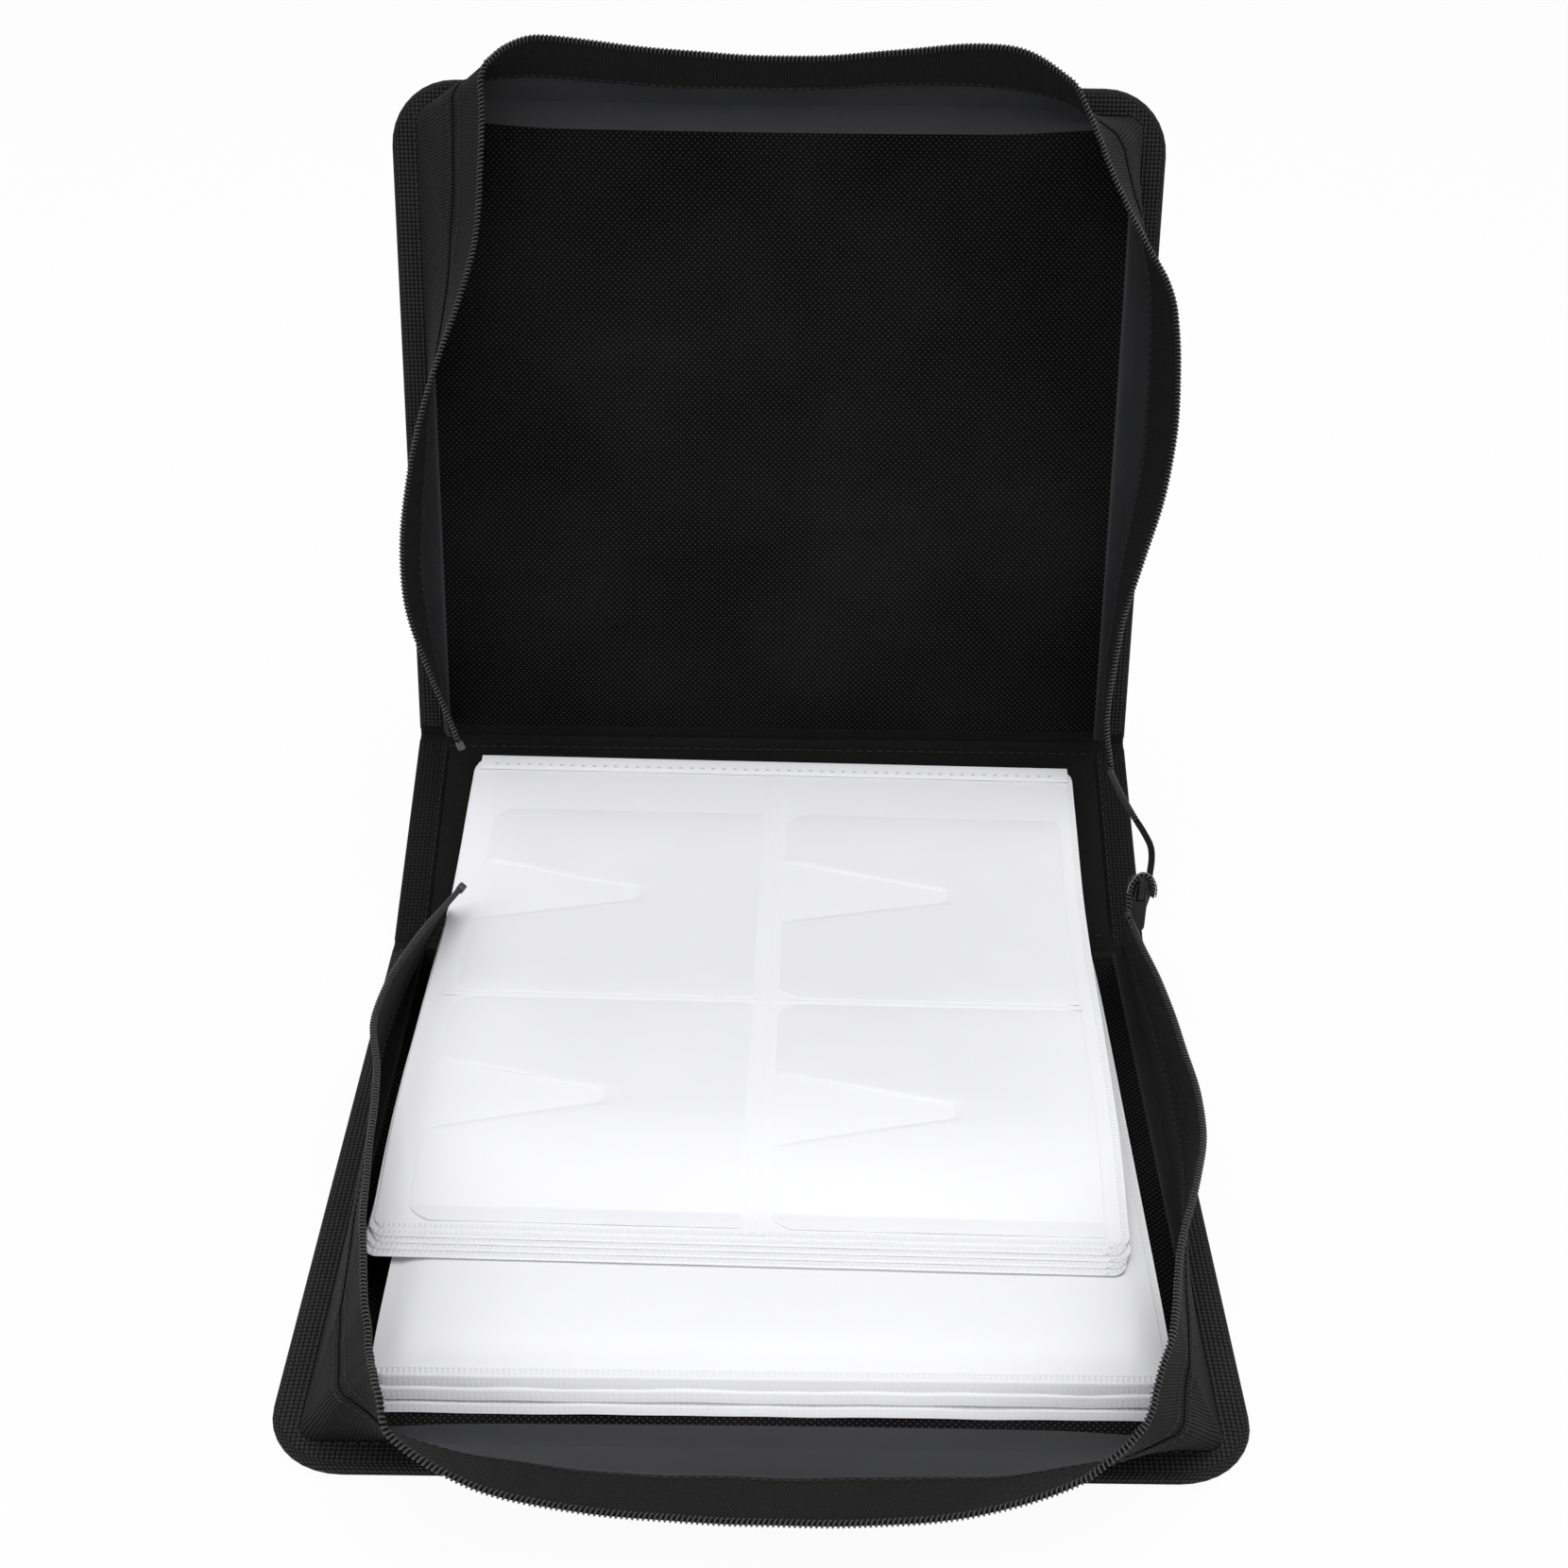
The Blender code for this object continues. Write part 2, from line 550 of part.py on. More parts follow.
def slider_and_pull():
    """Zip slider with its crown, the stop below it and the pull tab that hangs from the crown."""
    finish = (ZIP_BLACK, 0.35)
    x, y, z = SLIDER_AT
    reach = SLIDER_CHANNEL / 2 + SLIDER_PLATE / 2
    shoulder, tip = SLIDER_WIDTH / 2, SLIDER_WIDTH * 0.36
    half = SLIDER_LENGTH / 2
    outline = [(-tip, -half), (tip, -half), (shoulder, 0), (shoulder, half * 0.7), (tip, half),
               (-tip, half), (-shoulder, half * 0.7), (-shoulder, 0)]

    def upright(obj, at_y):
        obj.matrix_world = Matrix.Translation((x, at_y, z)) @ Matrix.Rotation(math.pi / 2, 4, "X")

    slider = plate("zip_slider", outline, -SLIDER_PLATE / 2, SLIDER_PLATE / 2, finish=finish)
    upright(slider, y - reach)
    bevel(slider, 0.0004, 2)
    rear = plate("slider_rear", outline, -SLIDER_PLATE / 2, SLIDER_PLATE / 2, collection=CUTTERS)
    upright(rear, y + reach)
    bevel(rear, 0.0004, 2)
    post = block("slider_post", (0.0026, SLIDER_CHANNEL + SLIDER_PLATE, 0.0075), (x, y, z + 0.0025),
                 collection=CUTTERS)
    boolean(slider, rear, "UNION")
    boolean(slider, post, "UNION")

    face = y - reach - SLIDER_PLATE / 2
    under = TAB_THICKNESS + 2 * CLEARANCE
    crown_height, crown_length = under + CROWN_THICKNESS, 0.0088
    crown_z = z + 0.0040
    crown = block("slider_crown", (CROWN_WIDTH, crown_height + 0.0006, crown_length),
                  (x, face - crown_height / 2 + 0.0003, crown_z), collection=CUTTERS)
    eye = block("crown_eye", (2 * CROWN_WIDTH, under, crown_length - 2 * CROWN_THICKNESS),
                (x, face - under / 2, crown_z), collection=CUTTERS)
    boolean(crown, eye, "DIFFERENCE")
    boolean(slider, crown, "UNION")

    stop_size = Vector((0.0064, SLIDER_CHANNEL + 0.001, 0.0042))
    stop = block("zip_bottom_stop", stop_size, (x, y, z - half - CLEARANCE - stop_size.z / 2), finish=finish)
    bevel(stop, 0.0006, 2)

    hinge = Vector((x, face - under / 2, crown_z + crown_length / 2 - CROWN_THICKNESS - CLEARANCE
                    - TAB_THICKNESS / 2))
    pivot = bpy.data.objects.new("pull_pivot", None)
    pivot.location = hinge
    PIECES.objects.link(pivot)
    half_tab = TAB_WIDTH / 2
    neck = half_tab * 0.62
    top = TAB_THICKNESS / 2
    low = top - TAB_LENGTH
    tab_outline = ([(neck, top), (half_tab, top - 0.009)]
                   + arc((0, low + half_tab), half_tab, 0, -math.pi, 10)
                   + [(-half_tab, top - 0.009), (-neck, top)])
    tab = plate("pull_tab", tab_outline, -TAB_THICKNESS / 2, TAB_THICKNESS / 2, pivot, finish=finish)
    tab.matrix_local = Matrix.Rotation(math.pi / 2, 4, "X")
    bevel(tab, 0.0005, 2)
    slot_length = crown_length - CROWN_THICKNESS
    # The bar above the slot is thinner than it is wide, so that it turns freely in the crown.
    slot = block("pull_slot", (CROWN_WIDTH + 4 * CLEARANCE, 4 * TAB_THICKNESS, slot_length),
                 (0, 0, -TAB_THICKNESS / 3 - slot_length / 2), pivot, CUTTERS)
    boolean(tab, slot, "DIFFERENCE")
    return hinge


def tails(base_end, lid_end):
    """The ends of the zip, coil and tape together, that run on from both coils beside the spine."""
    finish = (ZIP_BLACK, 0.6)
    routes = {
        "base_zip_tail": (BASE_TAIL, 3),
        "lid_zip_tail_low": (LID_TAIL_LOW, 4),
        "lid_zip_tail_high": (LID_TAIL_HIGH, 4),
    }
    for name, (points, steps) in routes.items():
        stretch = SPINE_DEPTH if name == "lid_zip_tail_high" else 1
        placed = [TAIL_ORIGIN + Vector((x, y * stretch, z)) for x, y, z in points]
        if name == "base_zip_tail":
            placed = base_end + placed
        if name == "lid_zip_tail_high":
            placed += reversed(lid_end)
        tube(name, smooth_points(placed, steps), TAIL_RADIUS, None, finish)


clear_scene()
PIECES = new_collection("disc_album")
CUTTERS = new_collection("cutters", hidden=True)

base = panel_empty("base_frame", BASE_FOLD, 0.0, -1)
spine = panel_empty("spine_frame", BASE_FOLD, SPINE_ANGLE, 1)
lid = panel_empty("lid_frame", LID_FOLD, LID_ANGLE, 1)
bpy.context.view_layer.update()

layered_panel("base", base, PANEL_LENGTH)
layered_panel("spine", spine, SPINE_DEPTH, is_spine=True)
layered_panel("lid", lid, PANEL_LENGTH)
fold_roll("base_fold", base)
fold_roll("lid_fold", lid)
base_coil_end = side_wall("base", base, BASE_LEAN, -1)
lid_coil_end = side_wall("lid", lid, LID_LEAN, 1)
page_bundle("page_bundle_lower", LOWER_BUNDLE, lower_bottom, lower_top)
page_bundle("page_bundle_upper", UPPER_BUNDLE, upper_bottom, upper_top)
bindings(spine)
slider_and_pull()
tails(base_coil_end, lid_coil_end)

for cutter in CUTTERS.objects:
    cutter.hide_render = True
    cutter.display_type = "WIRE"
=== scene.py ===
"""Looks of a large zip-round disc album, lying open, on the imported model's frame.

Metres, +Z up. Each of base, spine and lid has a frame of its own, with Y along the panel from its fold.
"""

import math
import random

import bmesh
import bpy
import numpy as np
from mathutils import Matrix, Vector


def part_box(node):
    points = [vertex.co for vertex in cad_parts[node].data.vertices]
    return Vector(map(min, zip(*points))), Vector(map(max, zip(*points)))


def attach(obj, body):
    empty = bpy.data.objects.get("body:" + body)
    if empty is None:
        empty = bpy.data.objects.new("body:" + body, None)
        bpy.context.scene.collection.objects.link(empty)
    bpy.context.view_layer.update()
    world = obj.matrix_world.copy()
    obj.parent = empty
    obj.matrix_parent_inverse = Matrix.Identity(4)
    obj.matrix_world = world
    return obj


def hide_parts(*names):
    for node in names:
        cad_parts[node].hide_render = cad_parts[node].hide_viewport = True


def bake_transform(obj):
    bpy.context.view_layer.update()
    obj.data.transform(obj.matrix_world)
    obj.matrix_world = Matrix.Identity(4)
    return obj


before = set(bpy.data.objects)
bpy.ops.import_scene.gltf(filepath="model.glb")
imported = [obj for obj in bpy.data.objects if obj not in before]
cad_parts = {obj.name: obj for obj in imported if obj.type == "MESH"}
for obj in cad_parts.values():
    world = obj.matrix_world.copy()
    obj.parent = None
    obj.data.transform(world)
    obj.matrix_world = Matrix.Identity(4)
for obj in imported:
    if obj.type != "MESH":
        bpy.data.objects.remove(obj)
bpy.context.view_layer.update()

CASE_WIDTH = 0.335
PANEL_LENGTH = 0.299
SPINE_DEPTH = 0.118
AXIS_HEIGHT = 0.0025
PANEL_START = 0.0028
FLANGE_WIDTH = 0.012
SEAM_GAP = 0.0003
RIM = 0.0147
CORNER_RADIUS = 0.028
SEAM_CORNER_RADIUS = 0.006
SPINE_ANGLE = math.radians(23.0)
LID_ANGLE = math.radians(79.7)
FOLD_Y = PANEL_LENGTH / 2

WALL_HEIGHT = 0.054
WALL_FABRIC_HEIGHT = 0.03
WALL_THICKNESS = 0.0008
COIL_PITCH = 0.0017
COIL_RISE = 0.0013
COIL_DEPTH = 0.00105
CORE_SHARE = 0.66
FLANGE_STITCH = {"pitch": 0.0042, "length": 0.003}
HEM_HEIGHT = 0.0255

PAGE_WIDTH = 0.275
PAGE_CORNER_RADIUS = 0.006
WELD_PITCH = 0.0019

PHOTO_PIXELS = 1660
FOCUS_PIXELS = 2386.17
CAMERA_PLACE = (0.00239, -0.6687, 0.5919)
WORLD_LIGHT = 0.46
FLOOR_HEIGHT = -0.0004

# The walls' leans and the bundles' heights are those of the solids.
BASE_LEAN = (
    (0.0, 0.41, 0.38), (0.25, 0.1, 0.29), (0.38, 0.05, 0.26), (0.5, 0.16, 0.23), (0.75, 0.28, 0.18),
    (0.92, 0.41, 0.13), (1.0, 0.48, 0.16), (1.06, 0.27, 0.42), (1.12, 0.03, 0.67), (1.25, -0.14, 0.86),
    (1.5, -0.21, 0.92), (1.75, -0.28, 0.89), (1.88, -0.35, 0.78), (1.94, -0.42, 0.64), (2.0, -0.53, 0.45),
    (2.06, -0.46, 0.43), (2.12, -0.35, 0.45), (2.25, -0.21, 0.49), (2.5, 0.13, 0.56), (2.75, 0.12, 0.6),
    (3.0, -0.04, 0.61),
)
LID_LEAN = (
    (0.0, 0.24, 0.25), (0.25, -0.15, 0.26), (0.5, 0.03, 0.31), (0.75, 0.48, 0.28), (0.92, 0.58, 0.32),
    (1.0, 0.57, 0.38), (1.06, 0.45, 0.53), (1.12, 0.37, 0.6), (1.25, 0.36, 0.54), (1.38, 0.34, 0.49),
    (1.5, 0.31, 0.49), (1.75, 0.24, 0.58), (1.88, 0.01, 0.36), (1.94, -0.18, 0.1), (2.0, -0.34, -0.17),
    (2.06, -0.22, -0.19), (2.12, -0.06, -0.15), (2.25, 0.24, -0.05), (2.5, 0.28, 0.02), (2.75, 0.0, 0.09),
    (2.92, -0.08, 0.13), (3.0, -0.02, 0.15),
)
LOWER_TOP = ((-0.286, 0.0215), (-0.240, 0.0225), (-0.200, 0.0222), (-0.150, 0.0215), (-0.090, 0.0205),
             (-0.045, 0.019), (-0.009, 0.0155))
UPPER_TOP = ((-0.197, 0.0262), (-0.175, 0.0325), (-0.150, 0.0362), (-0.090, 0.0368), (-0.045, 0.0358),
             (0.000, 0.0385), (0.046, 0.0475), (0.079, 0.054))
UPPER_REST = ((-0.0095, 0.0162), (-0.001, 0.0172), (0.046, 0.0300), (0.079, 0.0415))
LOWER_FRONT = -0.2735
LOWER_BACK = -0.0095


# Shader maths and finishes.


class Shade:
    """A shader socket, so that the sums of a finish read as plain expressions."""

    def __init__(self, tree, socket):
        self.tree = tree
        self.socket = socket

    def node(self, kind, settings, sockets, output=0):
        """A node of another kind: its settings first, then the values or links of its sockets."""
        made = self.tree.nodes.new("ShaderNode" + kind)
        for name, value in settings.items():
            setattr(made, name, value)
        for key, value in sockets.items():
            if isinstance(value, Shade):
                self.tree.links.new(value.socket, made.inputs[key])
            else:
                made.inputs[key].default_value = value
        return Shade(self.tree, made.outputs[output])

    def math(self, operation, other=0.0):
        return self.node("Math", {"operation": operation}, {0: self, 1: other})

    def __add__(self, other):
        return self.math("ADD", other)

    def __sub__(self, other):
        return self.math("SUBTRACT", other)

    def __mul__(self, other):
        return self.math("MULTIPLY", other)

    def __truediv__(self, other):
        return self.math("DIVIDE", other)

    def __rsub__(self, other):
        return self.node("Math", {"operation": "SUBTRACT"}, {0: other, 1: self})

    __radd__ = __add__
    __rmul__ = __mul__

    def step(self, low, high):
        """0 below low and 1 above high, smooth between them."""
        settings = {"interpolation_type": "SMOOTHSTEP"}
        return self.node("MapRange", settings, {"Value": self, "From Min": low, "From Max": high})

    def noise(self, scale, detail=2.0, roughness=0.5):
        sockets = {"Vector": self, "Scale": scale, "Detail": detail, "Roughness": roughness}
        return self.node("TexNoise", {}, sockets)

    def blend(self, low, high):
        """The colour between two, at this value."""
        sockets = {"Factor": self, 6: (*low, 1.0), 7: (*high, 1.0)}
        return self.node("Mix", {"data_type": "RGBA"}, sockets, 2)


def finish(paint, solid=False, **fixed):
    """A material. paint takes the cloth's coordinates, or for a solid its own, and returns what varies."""
    made = bpy.data.materials.new(paint.__name__)
    made.use_nodes = True
    tree = made.node_tree
    shader = tree.nodes["Principled BSDF"]
    start = Shade(tree, None)
    if solid:
        place = start.node("TexCoord", {}, {}, 3)
    else:
        place = start.node("Attribute", {"attribute_name": "cloth"}, {}, 1)
    axes = tree.nodes.new("ShaderNodeSeparateXYZ")
    tree.links.new(place.socket, axes.inputs[0])
    u, v, w = (Shade(tree, axes.outputs[i]) for i in range(3))
    varying = paint(place, u, v, w)
    relief = varying.pop("Relief")
    if relief:
        varying["Normal"] = start.node("Bump", {}, {"Height": relief[0], "Distance": relief[1], "Strength": 1.0})
    for key, value in varying.items():
        tree.links.new(value.socket, shader.inputs[key])
    for key, value in fixed.items():
        shader.inputs[key.replace("_", " ")].default_value = value
    return made


def ridge(value, pitch):
    """A row of round ridges, 0 between them and 1 on them."""
    return (value * (math.pi / pitch)).math("SINE").math("ABSOLUTE")


def plain_weave(u, v, pitch):
    """Threads that cross over and under each other, from 0 to 1."""
    across, along = ridge(u, pitch), ridge(v, pitch)
    cell = (u / pitch).math("FLOOR") + (v / pitch).math("FLOOR")
    over = cell.math("MODULO", 2.0).math("ABSOLUTE")
    return over * across * (0.55 + 0.45 * along) + (1 - over) * along * (0.55 + 0.45 * across)


def look(tone, low, high, roughness, *relief):
    """What varies in a finish: its colour with tone, its roughness, and its relief's height and depth."""
    return {"Base Color": tone.blend(low, high), "Roughness": roughness, "Relief": relief}


def woven_cover(place, u, v, w, painted_shade_factor=1.0):
    threads = plain_weave(u, v, 0.0018)
    cloud = place.noise(38.0, 3.0)
    fibre = place.noise(2600.0, 1.0)
    tone = threads * 1.15 + fibre * 0.2 + (cloud - 0.5) * 0.35 - 0.3
    # painted_shade_factor scales the weave's lighter colour; below 1 it paints shade over the whole cover.
    return look(tone, (0.0012, 0.0011, 0.0012), (0.042 * painted_shade_factor, 0.039 * painted_shade_factor, 0.039 * painted_shade_factor),
                0.92 - threads * 0.25, threads + fibre * 0.2, 0.00065)


def spine_weave_in_painted_shade(place, u, v, w):
    """The spine's cover: the panels' weave with painted shade, its lighter colour at about a third, as the spine
    lies in shade.
    """
    return woven_cover(place, u, v, w, 0.32)


def ribbed_wall(place, u, v, w):
    ribs = ridge(u, 0.0014)
    threads = ridge(v, 0.0008)
    fibre = place.noise(2400.0, 1.0)
    cloud = place.noise(30.0, 2.0)
    tone = ribs * 1.0 + threads * 0.12 + fibre * 0.2 + (cloud - 0.5) * 0.4 - 0.3
    return look(tone, (0.0008, 0.0008, 0.0009), (0.015, 0.0138, 0.0142),
                0.9 - ribs * 0.22, ribs + threads * 0.2, 0.00055)


def coated_wall(place, u, v, w):
    cloud = place.noise(24.0, 4.0, 0.6)
    grain = place.noise(1500.0, 2.0)
    tone = (cloud - 0.5) * 1.1 + 0.5 + (grain - 0.5) * 0.25
    return look(tone, (0.0215, 0.0218, 0.0235), (0.035, 0.0355, 0.0375),
                0.5 + (cloud - 0.5) * 0.22, grain * 0.5 + cloud, 0.00012)


def zip_tape(place, u, v, w):
    ribs = ridge(u + v * 0.3, 0.0013)
    lines = ridge(v, 0.0017)
    fibre = place.noise(2600.0, 1.0)
    cloud = place.noise(26.0, 2.0)
    tone = ribs * 0.62 + lines * 0.22 + fibre * 0.22 + (cloud - 0.5) * 0.3 - 0.1
    return look(tone, (0.0015, 0.0014, 0.0014), (0.0105, 0.0098, 0.0098),
                0.88 - ribs * 0.15, ribs + lines * 0.4, 0.00036)


def lining_felt(place, u, v, w):
    """Felt with dots in staggered rows, as hot rollers leave them."""
    turn = 2 * math.pi / 0.0026
    dots = ((u * turn).math("COSINE") * (v * turn).math("COSINE")).step(0.45, 0.92)
    cloud = place.noise(14.0, 3.0)
    fibre = place.node("TexNoise", {}, {"Vector": place, "Scale": 900.0, "Detail": 3.0, "Distortion": 1.5})
    tone = dots * 0.9 + fibre * 0.2 + (cloud - 0.5) * 0.35 - 0.05
    return look(tone, (0.0022, 0.002, 0.002), (0.042, 0.039, 0.039),
                0.82 - dots * 0.25, fibre * 0.5 - dots * 0.6, 0.00014)


def spine_cloth(place, u, v, w):
    threads = plain_weave(u, v, 0.00085)
    cloud = place.noise(22.0, 3.0)
    tone = threads * 0.6 + (cloud - 0.5) * 0.5 + 0.12
    # The colours hold painted shade: the cloth's own near-black, halved because the spine lies in shade. The
    # folds and binding tapes share it.
    return look(tone, (0.0028, 0.0026, 0.0026), (0.011, 0.0104, 0.0103), 0.88 - threads * 0.12, threads, 0.00022)


def black_thread(place, u, v, w):
    twist = ridge(u + v, 0.0004)
    return look(twist, (0.01, 0.0096, 0.0096), (0.034, 0.033, 0.033), 0.62 - twist * 0.12)


def zip_teeth(place, u, v, w):
    worn = place.noise(700.0, 2.0)
    return look(worn, (0.022, 0.022, 0.023), (0.07, 0.07, 0.074), 0.34 + worn * 0.16)


def coil_cord(place, u, v, w):
    fibre = place.noise(1800.0, 1.0)
    return look(fibre, (0.001, 0.001, 0.001), (0.004, 0.0038, 0.0038), 0.9 - fibre * 0.05)


def zip_edge_cord(place, u, v, w):
    worn = place.noise(500.0, 2.0)
    return look(worn, (0.09, 0.09, 0.095), (0.22, 0.22, 0.23), 0.5 + worn * 0.1)


def slider_enamel(place, u, v, w):
    worn = place.noise(240.0, 3.0)
    return look(worn, (0.0045, 0.0045, 0.005), (0.012, 0.012, 0.013), 0.3 + worn * 0.2, worn, 0.00005)


def sealed_tip(place, u, v, w):
    worn = place.noise(400.0, 2.0)
    return look(worn, (0.035, 0.035, 0.037), (0.1, 0.1, 0.105), 0.4 + worn * 0.2)


def weld_band(way):
    """1 on the weld, which lies a little inside the page's edge."""
    return way.step(0.0005, 0.0009) * (1 - way.step(0.0024, 0.0028))


def page_white(place, u, v, w):
    """Welded sleeve. v is the way in from the front edge, below 0 on the leaf's lip, and w from the side."""
    ribs_front = ridge(u, WELD_PITCH) * weld_band(v.math("ABSOLUTE")) * (0.42 + 0.58 * v.step(-0.0006, 0.0))
    weld = ribs_front + ridge(v, WELD_PITCH) * weld_band(w)
    # edge is painted shadow: a thin darker line along each leaf's front edge and right side, where it steps down
    # to the leaf below.
    edge = (1 - v.step(0.0001, 0.0006)) * v.step(-0.0009, -0.0003) + (1 - w.step(0.0001, 0.0006))
    cloud = place.noise(16.0, 3.0)
    fine = place.noise(420.0, 2.0)
    tone = 0.96 - weld * 0.24 - edge * 0.15 + (cloud - 0.5) * 0.12 + (fine - 0.5) * 0.04
    return look(tone, (0.72, 0.72, 0.78), (0.935, 0.935, 0.965),
                0.48 + weld * 0.2, cloud * 2.0 - weld * 0.6 + fine * 0.1, 0.0003)


def pocket_film(place, u, v, w):
    cloud = place.noise(11.0, 3.0)
    return look(cloud.step(0.3, 0.75), (0.885, 0.885, 0.92), (0.92, 0.92, 0.955),
                0.34 + cloud * 0.16, cloud, 0.0006)


def pale_thread(place, u, v, w):
    twist = ridge(u + v, 0.0005)
    return look(twist, (0.52, 0.52, 0.6), (0.7, 0.7, 0.78), 0.6 - twist * 0.1)


def grey_card(place, u, v, w):
    fibre = place.noise(300.0, 4.0)
    return look(fibre, (0.13, 0.12, 0.105), (0.22, 0.205, 0.18), 0.85 + fibre * 0.1)


def gloss(level, solid=False):
    return {"Specular_IOR_Level": level, "solid": solid}


CLOTH = {"Specular_IOR_Level": 0.1, "Sheen_Weight": 0.02, "Sheen_Roughness": 0.6}
FINISHES = {paint.__name__: finish(paint, **settings) for paint, settings in (
    (woven_cover, CLOTH), (spine_weave_in_painted_shade, CLOTH), (ribbed_wall, CLOTH), (coated_wall, gloss(0.2)),
    (zip_tape, CLOTH), (lining_felt, gloss(0.06)), (spine_cloth, CLOTH), (black_thread, gloss(0.2)),
    (zip_teeth, gloss(0.3)), (coil_cord, CLOTH), (zip_edge_cord, gloss(0.3)), (slider_enamel, gloss(0.35, True)),
    (sealed_tip, gloss(0.4, True)), (page_white, gloss(0.3)), (pocket_film, gloss(0.5)),
    (pale_thread, gloss(0.3)), (grey_card, gloss(0.2, True)),
)}


# Geometry.


def panel_frame(at, angle, facing):
    """The panel's axes as columns, then its place: local Y along the panel, local Z out of its inner face."""
    across = np.array((facing, 0.0, 0.0))
    run = np.array((0.0, facing * math.cos(angle), math.sin(angle)))
    return np.column_stack((across, run, np.cross(across, run), at))


def to_world(axes, points):
    points = np.asarray(points, float)
    return points @ axes[:, :3].T + axes[:, 3]


BASE_FOLD = np.array((0.0, FOLD_Y, AXIS_HEIGHT))
LID_FOLD = BASE_FOLD + SPINE_DEPTH * np.array((0.0, math.cos(SPINE_ANGLE), math.sin(SPINE_ANGLE)))
BASE = panel_frame(BASE_FOLD, 0.0, -1)
SPINE = panel_frame(BASE_FOLD, SPINE_ANGLE, 1)
LID = panel_frame(LID_FOLD, LID_ANGLE, 1)


def smooth_value(keys, values, at):
    """Values at places, on a smooth curve through the given ones and level beyond both ends."""
    keys, values = np.asarray(keys, float), np.asarray(values, float)
    at = np.clip(np.asarray(at, float), keys[0], keys[-1])
    i = np.clip(np.searchsorted(keys, at, side="right") - 1, 0, len(keys) - 2)
    width = keys[i + 1] - keys[i]
    t = (at - keys[i]) / width
    low, high = np.maximum(np.arange(len(keys)) - 1, 0), np.minimum(np.arange(len(keys)) + 1, len(keys) - 1)
    slope = (values[high] - values[low]) / (keys[high] - keys[low])
    return (
        values[i] * (2 * t**3 - 3 * t**2 + 1) + slope[i] * width * (t**3 - 2 * t**2 + t)
        + values[i + 1] * (3 * t**2 - 2 * t**3) + slope[i + 1] * width * (t**3 - t**2)
    )


def smooth_path(points, steps):
    points = np.asarray(points, float)
    t = np.linspace(0, len(points) - 1, (len(points) - 1) * steps + 1)
    return np.column_stack([smooth_value(np.arange(len(points)), points[:, k], t) for k in range(3)])


def unit(vectors):
    return vectors / np.linalg.norm(vectors, axis=-1, keepdims=True)


def way_along(path):
    """How far each of a path's points is from its start, along it."""
    return np.concatenate(([0], np.cumsum(np.linalg.norm(np.diff(path, axis=0), axis=1))))


def between(places, way, points):
    """Points or directions at given ways along a path."""
    return np.column_stack([np.interp(places, way, points[:, k]) for k in range(3)])


def add_object(name, data):
    obj = bpy.data.objects.new(name, data)
    bpy.context.scene.collection.objects.link(obj)
    return obj


class Piece:
    """A mesh in the making: its points, where each lies on the cloth, and its faces with their finish."""

    def __init__(self, name):
        self.name = name
        self.points, self.laid, self.faces, self.kinds = [], [], [], []
        self.count = 0

    def loops(self, points, laid, kinds, caps):
        """Loops of points joined to each other. kinds holds a finish for each place round the loop."""
        points = np.asarray(points, float)
        rows, size = points.shape[:2]
        laid = np.asarray(laid, float).reshape(rows * size, -1)
        if laid.shape[1] == 2:
            laid = np.column_stack((laid, np.ones(len(laid))))
        first = self.count
        self.count += len(laid)
        self.points.append(points.reshape(-1, 3))
        self.laid.append(laid)
        kinds = [kinds] * size if isinstance(kinds, int) else kinds
        for r in range(rows - 1):
            a, b = first + r * size, first + (r + 1) * size
            for k in range(size):
                following = (k + 1) % size
                self.faces.append((a + k, a + following, b + following, b + k))
                self.kinds.append(kinds[k])
        for start in (first, first + (rows - 1) * size):
            if caps == "plate":
                self.faces.append(tuple(range(start, start + size)))
                self.kinds.append(kinds[0])
            if caps == "strip":
                for k in range(size // 2 - 1):
                    other = start + size - 1 - k
                    self.faces.append((start + k, start + k + 1, other - 1, other))
                    self.kinds.append(kinds[k])

    def make(self, finishes, body, slot, replaces=(), sharp=40.0, merge=True):
        mesh = bpy.data.meshes.new(self.name)
        mesh.from_pydata(np.concatenate(self.points).tolist(), [], self.faces)
        laid = mesh.attributes.new("cloth", "FLOAT_VECTOR", "POINT")
        laid.data.foreach_set("vector", np.concatenate(self.laid).ravel())
        mesh.polygons.foreach_set("material_index", np.array(self.kinds, np.int32))
        bm = bmesh.new()
        bm.from_mesh(mesh)
        if merge:
            bmesh.ops.remove_doubles(bm, verts=bm.verts, dist=1e-7)
        bmesh.ops.recalc_face_normals(bm, faces=bm.faces)
        bm.to_mesh(mesh)
        bm.free()
        for kind in finishes:
            mesh.materials.append(FINISHES[kind])
        mesh.shade_smooth()
        mesh.set_sharp_from_angle(angle=math.radians(sharp))
        obj = add_object(self.name, mesh)
        if body:
            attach(obj, body)
        if replaces:
            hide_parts(*replaces)
        return obj


def swept(name, points, laid, caps, kind, body, slot, **how):
    """A piece of one run of loops, in one finish."""
    piece = Piece(name)
    piece.loops(points, laid, 0, caps)
    return piece.make([kind], body, slot, **how)


def skins(top, under):
    """Rows over the top and back along the underside, as loops."""
    return np.concatenate((top, under[:, ::-1]), axis=1)


def ripple(*at, seed=0.0):
    """Smooth unevenness of cloth, from about -1 to 1."""
    total = 0.0
    for k, turn in enumerate((61.0, 97.0, 173.0)):
        total = total + math.prod((0.5, 0.9, 0.8)[:k + 1]) * np.sin(
            sum(turn * (1 + 0.31 * i) * a for i, a in enumerate(at)) + seed * (k + 1.7)
        )
    return total / 1.3


# Panels: covers, linings and folds.


